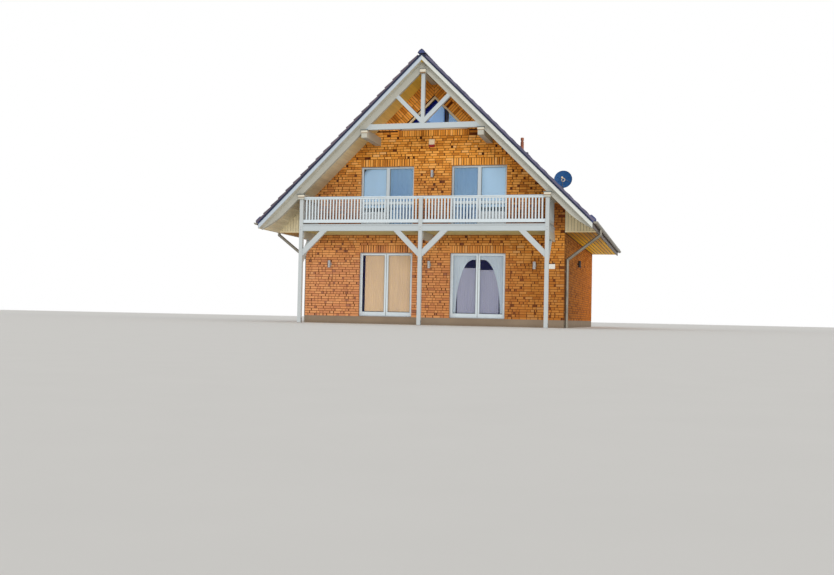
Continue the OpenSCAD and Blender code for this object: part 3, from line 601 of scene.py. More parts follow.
deck_wood = timber_finish("deck_boards", (168, 148, 124), 0, 0.2, 0.6, knots=True, other=(179, 188, 193),
                          where=lambda f: (f.y < POST_Y - 0.055) + (f.off_middle() > 4.105))  # painted edge
floor_wood = timber_finish("floor_boards", (186, 148, 104), 1, 0.15, 0.45, knots=True)
# the zinc's warm grey is partly a painted reflection of warm light; its stains are weathering
zinc = metal_finish("weathered_zinc", (128, 124, 114), 0.5, 0.42, 1, (92, 84, 74))
steel = metal_finish("galvanised_steel", (150, 154, 158), 0.8, 0.4)
lead_grey = metal_finish("lead_flashing", (88, 98, 100), 0.3, 0.5)
lamp_grey = metal_finish("lamp_grey_paint", (150, 152, 156), 0.3, 0.35)
dish_blue = metal_finish("dish_blue_paint", (8, 78, 136), 0.0, 0.7, stain=(8, 62, 112))
dish_rim = metal_finish("dish_rim_paint", (26, 42, 70), 0.2, 0.4)
flue_brown = metal_finish("flue_brown_paint", (150, 84, 54), 0.1, 0.5, stain=(90, 46, 28))
verge_blue = metal_finish("verge_end_glaze", (44, 56, 104), 0.0, 0.35)
black_metal = metal_finish("black_metal_paint", (34, 34, 38), 0.3, 0.5)
handle_grey = metal_finish("handle_satin", (186, 188, 192), 0.85, 0.28)
frame_white = moulded_finish("window_frame_white", (204, 216, 224), 0.3, (236, 212, 172),
                             lambda f: f.band(f.z, 6.3, 6.5))  # painted warm light makes those over the tie beam cream
seal_black = moulded_finish("rubber_seal", (26, 28, 32), 0.6)
# painted shade: the dark gap between the attic screens, laid on the bars
bar_blue = moulded_finish("attic_bar_painted_shade", (12, 16, 52), 0.5)
lamp_lens = moulded_finish("lamp_lens", (232, 228, 214), 0.2)
box_white = moulded_finish("alarm_box_plastic", (236, 216, 184), 0.35)
lens_red = moulded_finish("alarm_lens_red", (150, 20, 20), 0.15)
plate_white = moulded_finish("plate_enamel", (214, 214, 210), 0.22)
# painted reflection: the coat's pale blue stands in for sky seen in the glass; the navy on the front attic
# panes is painted shade
glass = glass_finish("window_glass_blue", (188, 224, 255), 0.16, 0.9, (56, 70, 122), painted_shade_under_ridge)
terrace_glass = glass_finish("terrace_door_glass", (44, 50, 120), 0.12)
blind = cloth_finish("roller_blind_cloth", (186, 216, 242))
net = cloth_finish("net_curtain", (90, 132, 182), 0.97)
lace = cloth_finish("terrace_net_curtain", (214, 232, 240), 0.96)
low_lace = cloth_finish("low_net_curtain", (178, 182, 200), 0.96)
beige_cloth = cloth_finish("beige_curtain", (250, 216, 168), 0.97)
# the navy of the attic screens along the left slope and beside the right bar is painted shade
attic_cloth = cloth_finish("attic_screen_cloth", (112, 160, 240), 1.0, (2, 18, 130), painted_shade_under_ridge)

# nodes of the frame that stay in sight, by their finish
for finish, names in (
        (mortar, "front_wall_piers front_gable_wall rear_wall side_walls"),
        (plinth, "ground_slab"),
        (screed, "upper_floor"),
        (floor_wood, "attic_floor"),
        (deck_wood, "balcony_deck"),
        (soffit_tan, "rafter_panel roof_boards_left roof_boards_right"),
        (eaves_back, "eaves_boxes"),
        (cream_x, "front_rafters"),
        (cream_y, "ridge_purlin mid_purlins eaves_purlins cross_beams balcony_joists"),
        (verge_white, "bargeboards"),
        (white_x, "tie_beam gable_struts balcony_beams"),
        (rail_white, "front_railings"),
        (white_z, "king_post balcony_posts knee_braces side_railings"),
        (zinc, "gutters downpipes"),
        (frame_white, "balcony_door_frames terrace_door_frames window_frames"),
        (glass, "balcony_door_glass window_glass")):
    for name in names.split():
        mesh = nodes[name].data
        mesh.materials.clear()
        mesh.materials.append(finish)
        mesh.polygons.foreach_set("material_index", [0] * len(mesh.polygons))

draw = random.Random(7316)


# Brickwork
def brick_tone(burnt=0.03):
    """Most bricks are golden, a few are pale and some are burnt dark."""
    luck = draw.random()
    if luck < burnt:
        return draw.uniform(0.0, 0.16)
    if luck < burnt + 0.03:
        return draw.uniform(0.85, 1.0)
    return draw.uniform(0.24, 0.8)


def lay_brick(shape, at, outline, burnt=0.03):
    if len(outline) > 2 and area(outline) > 0.0005:
        out = PROUD + draw.uniform(-0.0012, 0.001)
        shape.slab(at, outline, BRICK_IN, out, BRICK_EDGE, tone=brick_tone(burnt))


def uncut(outline):
    return outline


def under_roof(outline):
    """What is left of an outline on a gable under the roof boards."""
    for side in (-1, 1):
        outline = clip(outline, side * SLOPE, 1, RIDGE - BOARD_FOOT - 0.008)
    return outline


def lay_courses(shape, at, u0, u1, v0, v1, gaps=(), cut=uncut):
    """Wild bond between two heights, round the gaps. No burnt brick lies right over another."""
    dark = []
    for k in range(round((v1 - v0) / COURSE)):
        low = v0 + k * COURSE
        high = low + COURSE - JOINT
        below, dark = dark, []
        spans = [(u0, u1)]
        for a, b, c, d in gaps:
            if b < high - 0.02 and low + 0.02 < d:
                pieces = (s for p, q in spans for s in ((p, min(q, a - 0.002)), (max(p, c + 0.002), q)))
                spans = [s for s in pieces if s[1] - s[0] > 0.03]
        for u, end in spans:
            size = (STRETCHER, HEADER, BAT)[(k + draw.randrange(2)) % 3]
            while u < end - 0.02:
                if end - u - size < 0.07:
                    size = end - u
                burnt = 0.002 if size > 0.2 else 0.03 if size > 0.06 else 0.75
                if draw.random() < burnt and all(abs(u - other) > 0.13 for other in below):
                    dark.append(u)
                lay_brick(shape, at, cut(rect(u, low, u + size, high)), 1.0 if u in dark else 0.0)
                u += size + draw.choices((HEAD_JOINT, WIDE_JOINT), (0.72, 0.28))[0]
                size = draw.choices((STRETCHER, HEADER, CLOSER), (0.5, 0.4, 0.1))[0]


def lay_soldiers(shape, at, u0, u1, v0, v1, out=0.0):
    """Bricks on end, side by side, over an opening or under it."""
    count = round((u1 - u0) / COURSE)
    pitch = (u1 - u0 + JOINT) / count
    for i in range(count):
        u = u0 + i * pitch
        gap = draw.choices((JOINT, 0.026), (0.6, 0.4))[0]
        outline = rect(u, v0, u + pitch - gap, v1)
        shape.slab(at, outline, BRICK_IN, PROUD + out, BRICK_EDGE, tone=brick_tone(0.006))


def line_opening(shape, at, gap):
    """The bricks seen in the sides and under the head of an opening."""
    u0, v0, u1, v1 = gap
    slips = []
    for k in range(round((v1 - v0) / COURSE)):
        low = v0 + k * COURSE
        slips += [(a, low, a + 0.007, low + COURSE - JOINT) for a in (u0 - 0.003, u1 - 0.004)]
    count = round((u1 - u0) / COURSE)
    pitch = (u1 - u0 + JOINT) / count
    slips += [(u0 + i * pitch, v1 - 0.004, u0 + (i + 1) * pitch - JOINT, v1 + 0.003) for i in range(count)]
    for slip in slips:
        shape.slab(at, rect(*slip), -0.104, PROUD - 0.0006, tone=brick_tone())


def gable_bricks(name, at, openings, sills):
    """A gable's courses, the soldiers at its openings, and two raking rows along the attic window."""
    shape = Shape()
    edge = WALL_X + PROUD
    gaps = [(u0, v0, u1, v1 + 3 * COURSE) for u0, v0, u1, v1 in openings]
    gaps += [(u0, v0 - 2 * COURSE, u1, v0) for u0, v0, u1, v1 in sills]
    half, sill_foot = 1.234, BASE + 73 * COURSE
    gaps.append((-half, sill_foot, half, ATTIC_SILL + 1))
    lay_courses(shape, at, -edge, edge, BASE, BASE + 75 * COURSE, gaps, under_roof)
    for gap in openings:
        lay_soldiers(shape, at, gap[0], gap[2], gap[3], gap[3] + 3 * COURSE - JOINT)
        line_opening(shape, at, gap)
    for u0, v0, u1, v1 in sills:
        lay_soldiers(shape, at, u0, u1, v0 - 2 * COURSE, v0 - JOINT, 0.02)
    lay_soldiers(shape, at, -half, half, sill_foot, ATTIC_SILL - 0.006, 0.012)
    for side in (-1, 1):
        for low in (0.006, 0.271):
            for k in range(-8, 26):
                brick_end = rect(k * COURSE, low, (k + 1) * COURSE - JOINT, low + 0.255)
                outline = [(s * COS + t * SIN, ATTIC_TIP - s * SIN + t * COS)
                           for s, t in brick_end[3:] + brick_end[:3]]
                outline = clip(clip(outline, -1, 0, -0.004), 0, -1, -ATTIC_SILL)
                if side < 0:
                    outline = [(-u, v) for u, v in reversed(outline)]
                lay_brick(shape, at, under_roof(outline))
    return make(name, shape, brick)


gable_bricks("front_gable_bricks", FRONT_FACE, both(GROUND) + both(UPPER), [])
back_windows = both(GROUND_BACK) + both(UPPER_BACK)
gable_bricks("back_gable_bricks", REAR_FACE, back_windows, back_windows)
for name, at, start, end in (("right", RIGHT_FACE, FRONT, REAR), ("left", LEFT_FACE, -REAR, -FRONT)):
    shape = Shape()
    lay_courses(shape, at, start + 0.001, end - 0.001, BASE, BASE + 34 * COURSE)
    make(name + "_wall_bricks", shape, brick)

# Roof covering
ROWS, GAUGE, LAP, TAIL = 21, 0.358, 0.06, 7.652  # rows of tiles, their gauge and lap, the lowest row's end
ROLL, TILE_THICK = 0.028, 0.019  # height of a tile's rolls, and how thick a tile is
ACROSS = 44  # tiles in a row
TILE_W = 2 * TILES_END / ACROSS


def tile_rise(t):
    """How high a tile's double roll stands over its pan, from 0 to 1, across its width."""
    return (0.5 + 0.5 * cos(4 * pi * t)) ** 0.85


def slope_tiles(name, at, node):
    shape, rolls, under = Shape(), Shape(), Shape()
    steps = 12
    for k in range(ROWS):
        tail = TAIL - k * GAUGE
        for i in range(ACROSS):
            lift, slide = draw.uniform(-0.002, 0.0015), draw.uniform(-0.004, 0.004)
            tone = draw.uniform(0.2, 0.8) if draw.random() < 0.85 else draw.uniform(0.0, 1.0)
            u0 = i * TILE_W + 0.001 - TILES_END
            rings = []
            for s, top in ((tail - GAUGE - LAP, 0.064), (tail - 0.006, 0.103), (tail, 0.100)):
                over = [(u0 + (TILE_W - 0.002) * t, top + lift + ROLL * tile_rise(t))
                        for t in (j / steps for j in range(steps + 1))]
                beneath = [(u, h - TILE_THICK) for u, h in reversed(over)]
                rings.append([at(u, -s - slide, h) for u, h in over + beneath])
            shape.bent(rings, tone=tone)
        for end in (-TILES_END, TILES_END - 0.02):
            shape.loft([[at(end + a, -s, h) for a, h in rect(0.0, 0.05, 0.02, top)]
                        for s, top in ((tail - GAUGE + 0.004, 0.096), (tail, 0.129))],
                       tone=draw.uniform(0.3, 0.9))
    down = (at(0, -1, 0) - at(0, 0, 0)).normalized()
    for end in (0.096 - TILES_END, TILES_END - 0.096):
        rolls.turned(plane(at(end, -7.44, 0.078), Y, down.cross(Y)),
                     mm((0, 0), (70, 0), (88, 20), (94, 160), (90, 200), (70, 235), (35, 252), (0, 256)), 32)
    make(name, shape, tile, smooth=38, stands_for=[node])
    make(name + "_end_rolls", rolls, verge_blue, smooth=38)
    # a dark navy layer under the tiles; its end shows as a painted shadow line over the bargeboard
    under.slab(at, rect(0.012 - TILES_END, -7.585, TILES_END - 0.012, 0.0), 0.0006, 0.058, tone=0.3)
    for k in range(ROWS + 1):
        s = min(7.57, TAIL - k * GAUGE + 0.05)
        lath = rect(0.024 - TILES_END, -s, TILES_END - 0.024, 0.04 - s)
        under.slab(at, lath, 0.05, 0.066, 0.003, tone=0.7)
    make(name + "_battens", under, batten)


slope_tiles("right_slope_tiles", RIGHT_SLOPE, "roof_tiles_right")
slope_tiles("left_slope_tiles", LEFT_SLOPE, "roof_tiles_left")


def ridge_caps():
    """Half-round caps, a little square on top, and a stop at each end of the ridge."""
    shape = Shape()
    count, r = 37, 0.132
    length = 2 * TILES_END / count
    mid = RIDGE + 0.012 - r

    def section(radius, points, start, turn):
        return [(u * k, v * k) for u, v in arc(radius, points, start, turn)
                for k in [0.4 + 0.6 * radius / (abs(u) + abs(v))]]

    def hoop(y, radius, thick):
        around = section(radius, 15, -4, 188) + section(radius - thick, 15, 184, -188)
        return [Vector((u, y, mid + v)) for u, v in around]

    for k in range(count):
        y = k * length - TILES_END
        end = min(y + length + 0.05, TILES_END)
        shape.bent([hoop(y, r - 0.003, 0.013), hoop(y + 0.004, r, 0.016), hoop(y + 0.05, r, 0.016),
                    hoop(y + 0.056, r - 0.006, 0.012), hoop(end, r - 0.016, 0.01)],
                   tone=draw.uniform(0.2, 0.7))
    for y in (0.02 - TILES_END, TILES_END - 0.003):
        stop = section(r - 0.018, 16, -6, 192)
        shape.slab(facing_front(0, y, mid), stop, 0.0, 0.017, 0.003, tone=0.4, part=1)
    make("ridge_caps", shape, [tile, verge_blue], smooth=40, stands_for=["ridge_tiles"])


ridge_caps()


# Boarding
def strips(shape, at, u0, u1, v0, v1, low, high, width=0.115, gap=0.005, across=False, cut=uncut, part=0):
    """Boards side by side over a rectangle. They run along u, or along v where across is set."""
    start, end = (u0, u1) if across else (v0, v1)
    count = round((end - start) / (width + gap))
    pitch = (end - start) / count
    for i in range(count):
        a = start + i * pitch + gap / 2
        b = a + pitch - gap
        outline = cut(rect(a, v0, b, v1) if across else rect(u0, a, u1, b))
        if len(outline) > 2:
            shape.slab(at, outline, low, high, 0.0015, tone=draw.uniform(0.2, 0.8), part=part)


for name, sign in (("right", 1), ("left", -1)):
    shape = Shape()
    under = plane((0, 0, RIDGE - BOARD_FOOT), Y * -sign, (-COS * sign, 0, SIN))
    for y0, y1, part in ((0.003 - BOARDS_END, POST_Y - 0.065, 1), (POST_Y + 0.065, FRONT - PROUD, 0),
                         (REAR + PROUD, BOARDS_END - 0.003, 0)):
        strips(shape, under, *span(-sign, y0, y1), -7.63, -0.06, SUNK, 0.006, part=part)
    make(name + "_gable_soffit_boards", shape, [soffit_tan, cream_y])

tip_x = (RIDGE - BOARD_FOOT - SOFFIT) / SLOPE
shape = Shape()
for sign in (-1, 1):
    strips(shape, DOWN, *span(sign, WALL_X + 0.006, tip_x - 0.004), -REAR, -FRONT,
           SUNK - SOFFIT, 0.006 - SOFFIT, 0.106, 0.036, True)
make("eaves_soffit_boards", shape, eaves_gold)

shape = Shape()
for at in (FRONT_FACE, REAR_FACE):
    for sign in (-1, 1):
        near, far = span(sign, WALL_X + 0.007, tip_x - 0.005)
        strips(shape, at, near, far, SOFFIT + 0.002, 4.09, SUNK, 0.007, 0.092, 0.008, True, under_roof)
        near, far = span(sign, WALL_X + 0.007, tip_x + 0.006)
        shape.slab(at, rect(near, SOFFIT - 0.008, far, SOFFIT + 0.034), SUNK, 0.018, 0.005, tone=0.95)
make("closure_boards", shape, closure_tan)

shape = Shape()
beam_back = POST_Y + POST / 2
for x0, x1 in ((-3.978, -0.072), (0.072, 3.978)):
    strips(shape, DOWN, x0, x1, 0.005 - FRONT, -beam_back - 0.003, SUNK - CEILING, 0.006 - CEILING)
make("balcony_ceiling_boards", shape, ceiling_tan)

shape = Shape()
strips(shape, UP, -3.975, 3.975, beam_back + 0.006, FRONT - 0.005, DECK + SUNK, DECK + 0.006, 0.138, 0.006)
make("balcony_deck_boards", shape, deck_wood)


# Doors and windows
def pane_edge(shape, at, box, face):
    """A bead round a pane, part 0, and the black seal inside it, part 1. face is the depth of the glass."""
    shape.ring(at, rect(*box), inset(box, 0.012), face, face + 0.009, 0.003)
    shape.ring(at, inset(box, 0.012), inset(box, 0.017), face, face + 0.004, 0.001, part=1)


def lever_handle(shape, x, z):
    """A lever on its plate, on the inner side of a door."""
    y = DOOR_BACK
    at = plane((x, y, z), -X, Z)
    shape.slab(at, plate(0.015, 0.065, 0.012), 0.0, 0.008, 0.002)
    shape.rod((x, y + 0.006, z + 0.02), (x, y + 0.045, z + 0.02), 0.009, 16, 0.001)
    rings = []
    for t in (i / 8 for i in range(9)):
        drop = 0.02 + 0.004 * sin(pi * t)
        deep, tall = 0.0065 - 0.001 * t, 0.0105 - 0.003 * t
        rings.append([at(-0.004 - 0.118 * t, drop + tall * sin(a), 0.048 + deep * cos(a))
                      for a in (2 * pi * j / 12 for j in range(12))])
    shape.loft(rings)


def hung_net(name, body, x0, x1, z0, z1, y, folds, deep, finish, hem=None):
    """A net gathered on a rail behind the glass. hem gives how far its foot is lifted along its width."""
    width, height = x1 - x0, z1 - z0
    phases = [draw.uniform(-0.5, 0.5) for _ in range(folds + 2)]

    def place(s, t):
        a = s * folds
        i = int(a)
        sway = phases[i] * (1 - (a - i)) + phases[i + 1] * (a - i)
        swing = sin(2 * pi * a + sway * 2.2)
        tall = height - (hem(s) if hem else 0.0)
        x = x0 + width * s + 0.006 * sway * t
        return Vector((x, y + deep * swing * (0.55 + 0.45 * t), z1 - tall * t)), Y

    shape = Shape()
    shape.cloth(place, folds * 8, 14)
    piece = make(name, shape, finish, body, smooth=60)
    steps = folds * 24
    wave = [deep * 0.8 * sin(2 * pi * folds * i / steps) for i in range(steps + 1)]
    run = sum(hypot(width / steps, b - a) for a, b in zip(wave, wave[1:]))
    if hem:
        round(run * (height - sum(hem((i + 0.5) / 50) for i in range(50)) / 50), 3)


def roller_blind(name, x0, x1, z0, z1, y, corner=0.0):
    """A flat blind with its bar along the foot. corner cuts off its top left corner."""
    width = x1 - x0

    def place(s, t):
        top = z1 - max(0.0, corner - width * s)
        wave = 0.0015 * sin(9 * width * (1 - s) + 4 * t)
        return Vector((x0 + width * s, y + wave, top - (top - z0) * t)), Y

    shape, bar = Shape(), Shape()
    shape.cloth(place, 24, 10)
    cloth = make(name, shape, blind, smooth=60)
    bar.rod((x0 + 0.004, y, z0 - 0.008), (x1 - 0.004, y, z0 - 0.008), 0.009, 12, 0.002)
    foot = make(name + "_bar", bar, frame_white, smooth=40)
    round(z1 - z0, 3)


# terrace doors: the leaves that open
LEAF_W, LEAF_FOOT, LEAF_HEAD = 0.894, 0.275, 2.382
STILE, KICK, TOP_RAIL = 0.05, 0.12, 0.045
HINGE_Y = FRONT + 0.199
HINGES = [LEAF_FOOT + 0.18, LEAF_FOOT + 1.0535, LEAF_FOOT + 1.857]


def door_leaf(name, edge_x, toward):
    """A leaf from its hinge edge towards the middle of its pair, and the cloths that hang on it."""
    leaf, body = name + "_leaf", name + "_door"
    meet = edge_x + toward * LEAF_W
    x0, x1 = sorted((edge_x, meet))
    pane = u0, v0, u1, v1 = x0 + STILE, LEAF_FOOT + KICK, x1 - STILE, LEAF_HEAD - TOP_RAIL
    at = facing_front(0, DOOR_BACK, 0)  # depths run out from the inner face
    wood, sheet, metal = Shape(), Shape(), Shape()
    wood.ring(at, rect(x0, LEAF_FOOT, x1, LEAF_HEAD), rect(*pane), 0.0, 0.06, 0.004)
    pane_edge(wood, at, pane, 0.0425)
    a, b = sorted((meet, meet + toward * 0.0035))
    wood.box((a, FRONT + 0.15, LEAF_FOOT + 0.01), (b, FRONT + 0.162, LEAF_HEAD - 0.01), 0.001, part=1)
    wood.box((x0 + 0.01, FRONT + 0.1285, LEAF_FOOT + 0.016),
             (x1 - 0.01, FRONT + 0.1315, LEAF_FOOT + 0.046), 0.001)
    make(leaf + "_frame", wood, [frame_white, seal_black], body, stands_for=[leaf])
    sheet.slab(at, inset(pane, 0.0003), 0.018, 0.042, 0.001)
    make(leaf + "_pane", sheet, terrace_glass, body)
    for z in HINGES:
        metal.turned(facing_up(edge_x - toward * 0.0025, HINGE_Y, z + 0.0003),
                     mm((5.3, 0), (7.5, 0), (9, 2), (9, 43), (7.5, 45), (5.3, 45)), 20, True)
        a, b = sorted((edge_x + toward * 0.001, edge_x + toward * 0.03))
        metal.box((a, HINGE_Y - 0.0135, z + 0.001), (b, HINGE_Y - 0.004, z + 0.0445))
    if toward < 0:
        lever_handle(metal, meet + 0.025, 1.3)
    make(leaf + "_hinges", metal, handle_grey, body, smooth=40)

    def hang(word, left, right, head, back, folds, deep, finish, hem=None):
        hung_net(leaf + word, body, u0 + left, u1 - right, v0 + 0.03, head, DOOR_BACK - back, folds, deep,
                 finish, hem)

    def arch(s):
        t = min(1.0, max(0.0, (s if toward > 0 else 1 - s) - 0.13) / 0.72)
        return 1.77 * sqrt(1 - (1 - t) ** 2)

    if name.startswith("left_unit"):
        hang("_curtain", 0.096 if toward > 0 else 0.006, 0.006, v1 - 0.012, 0.009, 8, 0.004, beige_cloth)
    else:
        hang("_net", 0.006, 0.006, v1 - 0.012, 0.009, 9, 0.004, lace, arch)
        left, right, head = (0.15, 0.006, 1.92) if toward > 0 else (0.006, 0.15, 1.86)
        hang("_low_net", left, right, head, -0.005, 9, 0.003, low_lace)


for unit, left_edge, right_edge in (("left_unit", -2.478, -0.676), ("right_unit", 0.676, 2.478)):
    door_leaf(unit + "_left", left_edge, 1)
    door_leaf(unit + "_right", right_edge, -1)

# fixed frames: thresholds, beads, seals and handles
trim, metal, bright = Shape(), Shape(), Shape()
for gap in both(GROUND):
    trim.ring(FRONT_FACE, inset(gap, 0.002), inset(gap, 0.012), -0.112, -0.106, 0.002, part=1)
    x0, x1 = gap[0] + 0.031, gap[2] - 0.031
    bright.box((x0, FRONT + 0.112, 0.2695), (x1, FRONT + 0.126, 0.273), 0.001)
    bright.box((x0, FRONT + 0.092, 0.2525), (x1, FRONT + 0.1105, 0.266), 0.003)


def fixed_pair(at, gap, kick=0.057, rail=None):
    """Sash lines, beads and seals of a unit with two fixed leaves. rail is how high its cross rail is."""
    sash, mullion = 0.057, 0.1
    u0, v0, u1, v1 = gap
    mid = (u0 + u1) / 2
    pane_w = (u1 - u0 - mullion) / 2 - sash
    spans = [(v0 + kick, v1 - sash)]
    if rail:
        spans = [(v0 + kick, v0 + rail), (v0 + rail + 0.08, v1 - sash)]
    for a, s0, s1 in ((u0 + sash, u0 + 0.022, mid - 0.006), (u1 - sash - pane_w, mid + 0.006, u1 - 0.022)):
        for low, high in spans:
            pane_edge(trim, at, (a, low, a + pane_w, high), GLASS_OUT)
        edge = (s0, v0 + 0.022, s1, v1 - 0.022)
        trim.ring(at, rect(*edge), inset(edge, 0.004), FRAME_OUT - 0.001, FRAME_OUT + 0.0012, part=1)
        trim.ring(at, inset(edge, 0.005), inset(edge, 0.013), FRAME_OUT - 0.001, FRAME_OUT + 0.004, 0.0015)
    cover = rect(mid - 0.016, v0 + 0.03, mid + 0.016, v1 - 0.03)
    trim.slab(at, cover, FRAME_OUT - 0.001, FRAME_OUT + 0.007, 0.003)


for side, upper, *back in zip((-1, 1), both(UPPER), both(GROUND_BACK), both(UPPER_BACK)):
    fixed_pair(FRONT_FACE, upper, KICK, 0.81)
    for gap in back:
        fixed_pair(REAR_FACE, gap)
    lever_handle(metal, (upper[0] + upper[2]) / 2 + 0.026, 4.2)
    a, b = span(side, 1.644, 2.439)
    trim.slab(FRONT_FACE, rect(a, 3.387, b, 3.8), -0.1375, -0.122, 0.002)
    trim.slab(FRONT_FACE, rect(a + 0.05, 3.437, b - 0.05, 3.75), -0.1225, -0.117, 0.004)


def attic_region(drawn_in, u_low, u_high):
    """The attic window's triangle, drawn in on its three sides and cut off at two places along its foot."""
    tip = ATTIC_TIP - drawn_in / COS
    low = ATTIC_SILL + drawn_in
    half = (tip - low) / SLOPE
    return clip(clip([(-half, low), (half, low), (0.0, tip)], 1, 0, u_high), -1, 0, -u_low)


# the attic windows: beads and seals of their three panes, and cover strips on their bars
left_bar, right_bar = ATTIC_BARS
for at in (FRONT_FACE, REAR_FACE):
    for u_low, u_high in ((-9, left_bar[0]), (left_bar[1], right_bar[0]), (right_bar[1], 9)):
        outline, bead, seal = (attic_region(0.057 + d, u_low + d, u_high - d) for d in (0.0, 0.012, 0.017))
        trim.ring(at, outline, bead, GLASS_OUT, GLASS_OUT + 0.009)
        trim.ring(at, bead, seal, GLASS_OUT, GLASS_OUT + 0.004, part=1)
    # the bar strips take the dark blue painted shade of the gap between the screens
    for low, high in ATTIC_BARS:
        strip = attic_region(0.057, low - 0.014, high + 0.014)
        trim.slab(at, strip, FRAME_OUT + SUNK, FRAME_OUT + 0.003, 0.001, part=2)
        for u0, u1 in ((low - 0.001, low + 0.0005), (high - 0.0005, high + 0.001)):
            trim.slab(at, attic_region(0.057, u0, u1), GLASS_OUT + 0.001, FRAME_OUT + 0.0025, part=2)
make("frame_beads_and_seals", trim, [frame_white, seal_black, bar_blue])
make("door_handles", metal, handle_grey, smooth=40)
make("threshold_strips", bright, handle_grey)

# blinds and nets of the upper doors and the attic, and blinds in the back windows
for name, x0, x1, corner in (("left_balcony_blind", -2.449, -1.642, 0.1),
                             ("right_balcony_blind", 1.642, 2.449, 0.0)):
    roller_blind(name, x0, x1, 3.955, 5.27, FRONT + 0.205, corner)
for name, x0, x1 in (("left_balcony_net", -1.52, -0.703), ("right_balcony_net", 0.703, 1.52)):
    hung_net(name, "house", x0, x1, 3.33, 5.29, FRONT + 0.235, 5, 0.016, net)
for name, u_low, u_high in (("left", -1.1, -0.475), ("middle", -0.385, 0.33), ("right", 0.475, 1.1)):
    shape = Shape()
    pane = attic_region(0.085, u_low, u_high)
    shape.slab(facing_front(0, FRONT + 0.202, 0), pane, 0.0, 0.0015)
    piece = make("attic_screen_" + name, shape, attic_cloth)
    us, vs = zip(*pane)
    flat = (round(max(us) - min(us), 3), round(max(vs) - min(vs), 3))
    round(area(pane), 3)
for row, gap in (("ground", GROUND_BACK), ("upper", UPPER_BACK)):
    for side, (u0, v0, u1, v1) in zip(("left", "right"), both(gap)):
        roller_blind("%s_back_%s_blind" % (row, side), u0 + 0.03, u1 - 0.03, v0 + 0.06, v1 - 0.05,
                     REAR - 0.215)


def folded_sheet(shape, at, u0, u1, v, *section):
    """A sill of folded metal. Its section is (depth, height) in millimetres."""
    shape.loft([[at(u, v + h / 1000, -d / 1000) for d, h in section] for u in (u0, u1)])


shape = Shape()
for u0, v0, u1, v1 in back_windows:
    folded_sheet(shape, REAR_FACE, u0 + 0.003, u1 - 0.003, v0,
                 (0, -1), (108, -1), (108, 14), (-22, 4), (-22, -20), (-17, -20), (-17, -1))
make("sill_sheets", shape, zinc)
shape = Shape()
half_sill = (ATTIC_TIP - ATTIC_SILL) / SLOPE + 0.02
for at in (FRONT_FACE, REAR_FACE):
    folded_sheet(shape, at, -half_sill, half_sill, ATTIC_SILL,
                 (0, -4), (108, 1), (108, 8), (-24, 2), (-24, -12), (-20, -12), (-20, -4))
make("attic_sill_sheets", shape, flue_brown)


# Fittings on the walls
def wall_lamp(shape, at):
    """A tube lamp on its square plate. at has its origin at the lamp's middle on the wall."""
    shape.slab(at, plate(0.05, 0.05, 0.012), 0.0, 0.012, 0.003)
    shape.slab(at, plate(0.015, 0.02, 0.008), 0.01, 0.055)
    tube = plane(at(0.0, -0.12, 0.092), at(1, 0, 0) - at(0, 0, 0), at(0, 0, -1) - at(0, 0, 0))
    case = mm((0, 4), (40, 4), (42, 0), (48, 0), (50, 2), (50, 72), (47, 74), (47, 78), (50, 80),
              (50, 160), (47, 162), (47, 166), (50, 168), (50, 238), (48, 240), (42, 240), (40, 236),
              (0, 236))
    shape.turned(tube, case, 28)
    for low, high in ((1.5, 4.5), (235.5, 238.5)):
        shape.turned(tube, mm((0, low), (39, low), (39, high), (0, high)), 28, part=1)


lamps, side_lamp = Shape(), Shape()
for x, z in ((-3.55, 2.01), (-0.045, 2.01), (3.47, 2.01), (0, 5.05)):
    wall_lamp(lamps, facing_front(x, FRONT, z))
make("tube_lamps", lamps, [lamp_grey, lamp_lens], smooth=35, stands_for=["wall_lamps"])
wall_lamp(side_lamp, plane((WALL_X, -0.6, 2.3), Y, Z))
make("side_wall_lamp", side_lamp, [black_metal, lamp_lens], smooth=35)

shape = Shape()
shape.slab(FRONT_FACE, rounded(-0.135, 6.03, 0.06, 6.21, 0.018), 0.0, 0.08, 0.01)
shape.slab(FRONT_FACE, rounded(-0.125, 6.045, 0.05, 6.2, 0.014), 0.078, 0.0795, 0.001)
shape.slab(FRONT_FACE, rounded(-0.128, 5.951, 0.053, 6.036, 0.016), 0.002, 0.072, 0.012, part=1)
for u in (-0.11, 0.035):
    shape.turned(facing_front(u, FRONT - 0.079, 6.18), mm((0, 0), (5, 0), (5, 1), (0, 1)), 12)
make("alarm_box_cover", shape, [box_white, lens_red], smooth=35, stands_for=["alarm_box"])

shape = Shape()
shape.slab(FRONT_FACE, rounded(3.9, 1.905, 4.135, 2.06, 0.008), 0.0, 0.0145, 0.002)
for u in (3.94, 4.095):
    shape.box((u - 0.03, FRONT - 0.02, 2.068), (u + 0.03, FRONT - 0.002, 2.108), 0.004, part=1)
make("blank_wall_plate", shape, [plate_white, black_metal], smooth=35, stands_for=["house_plate"])


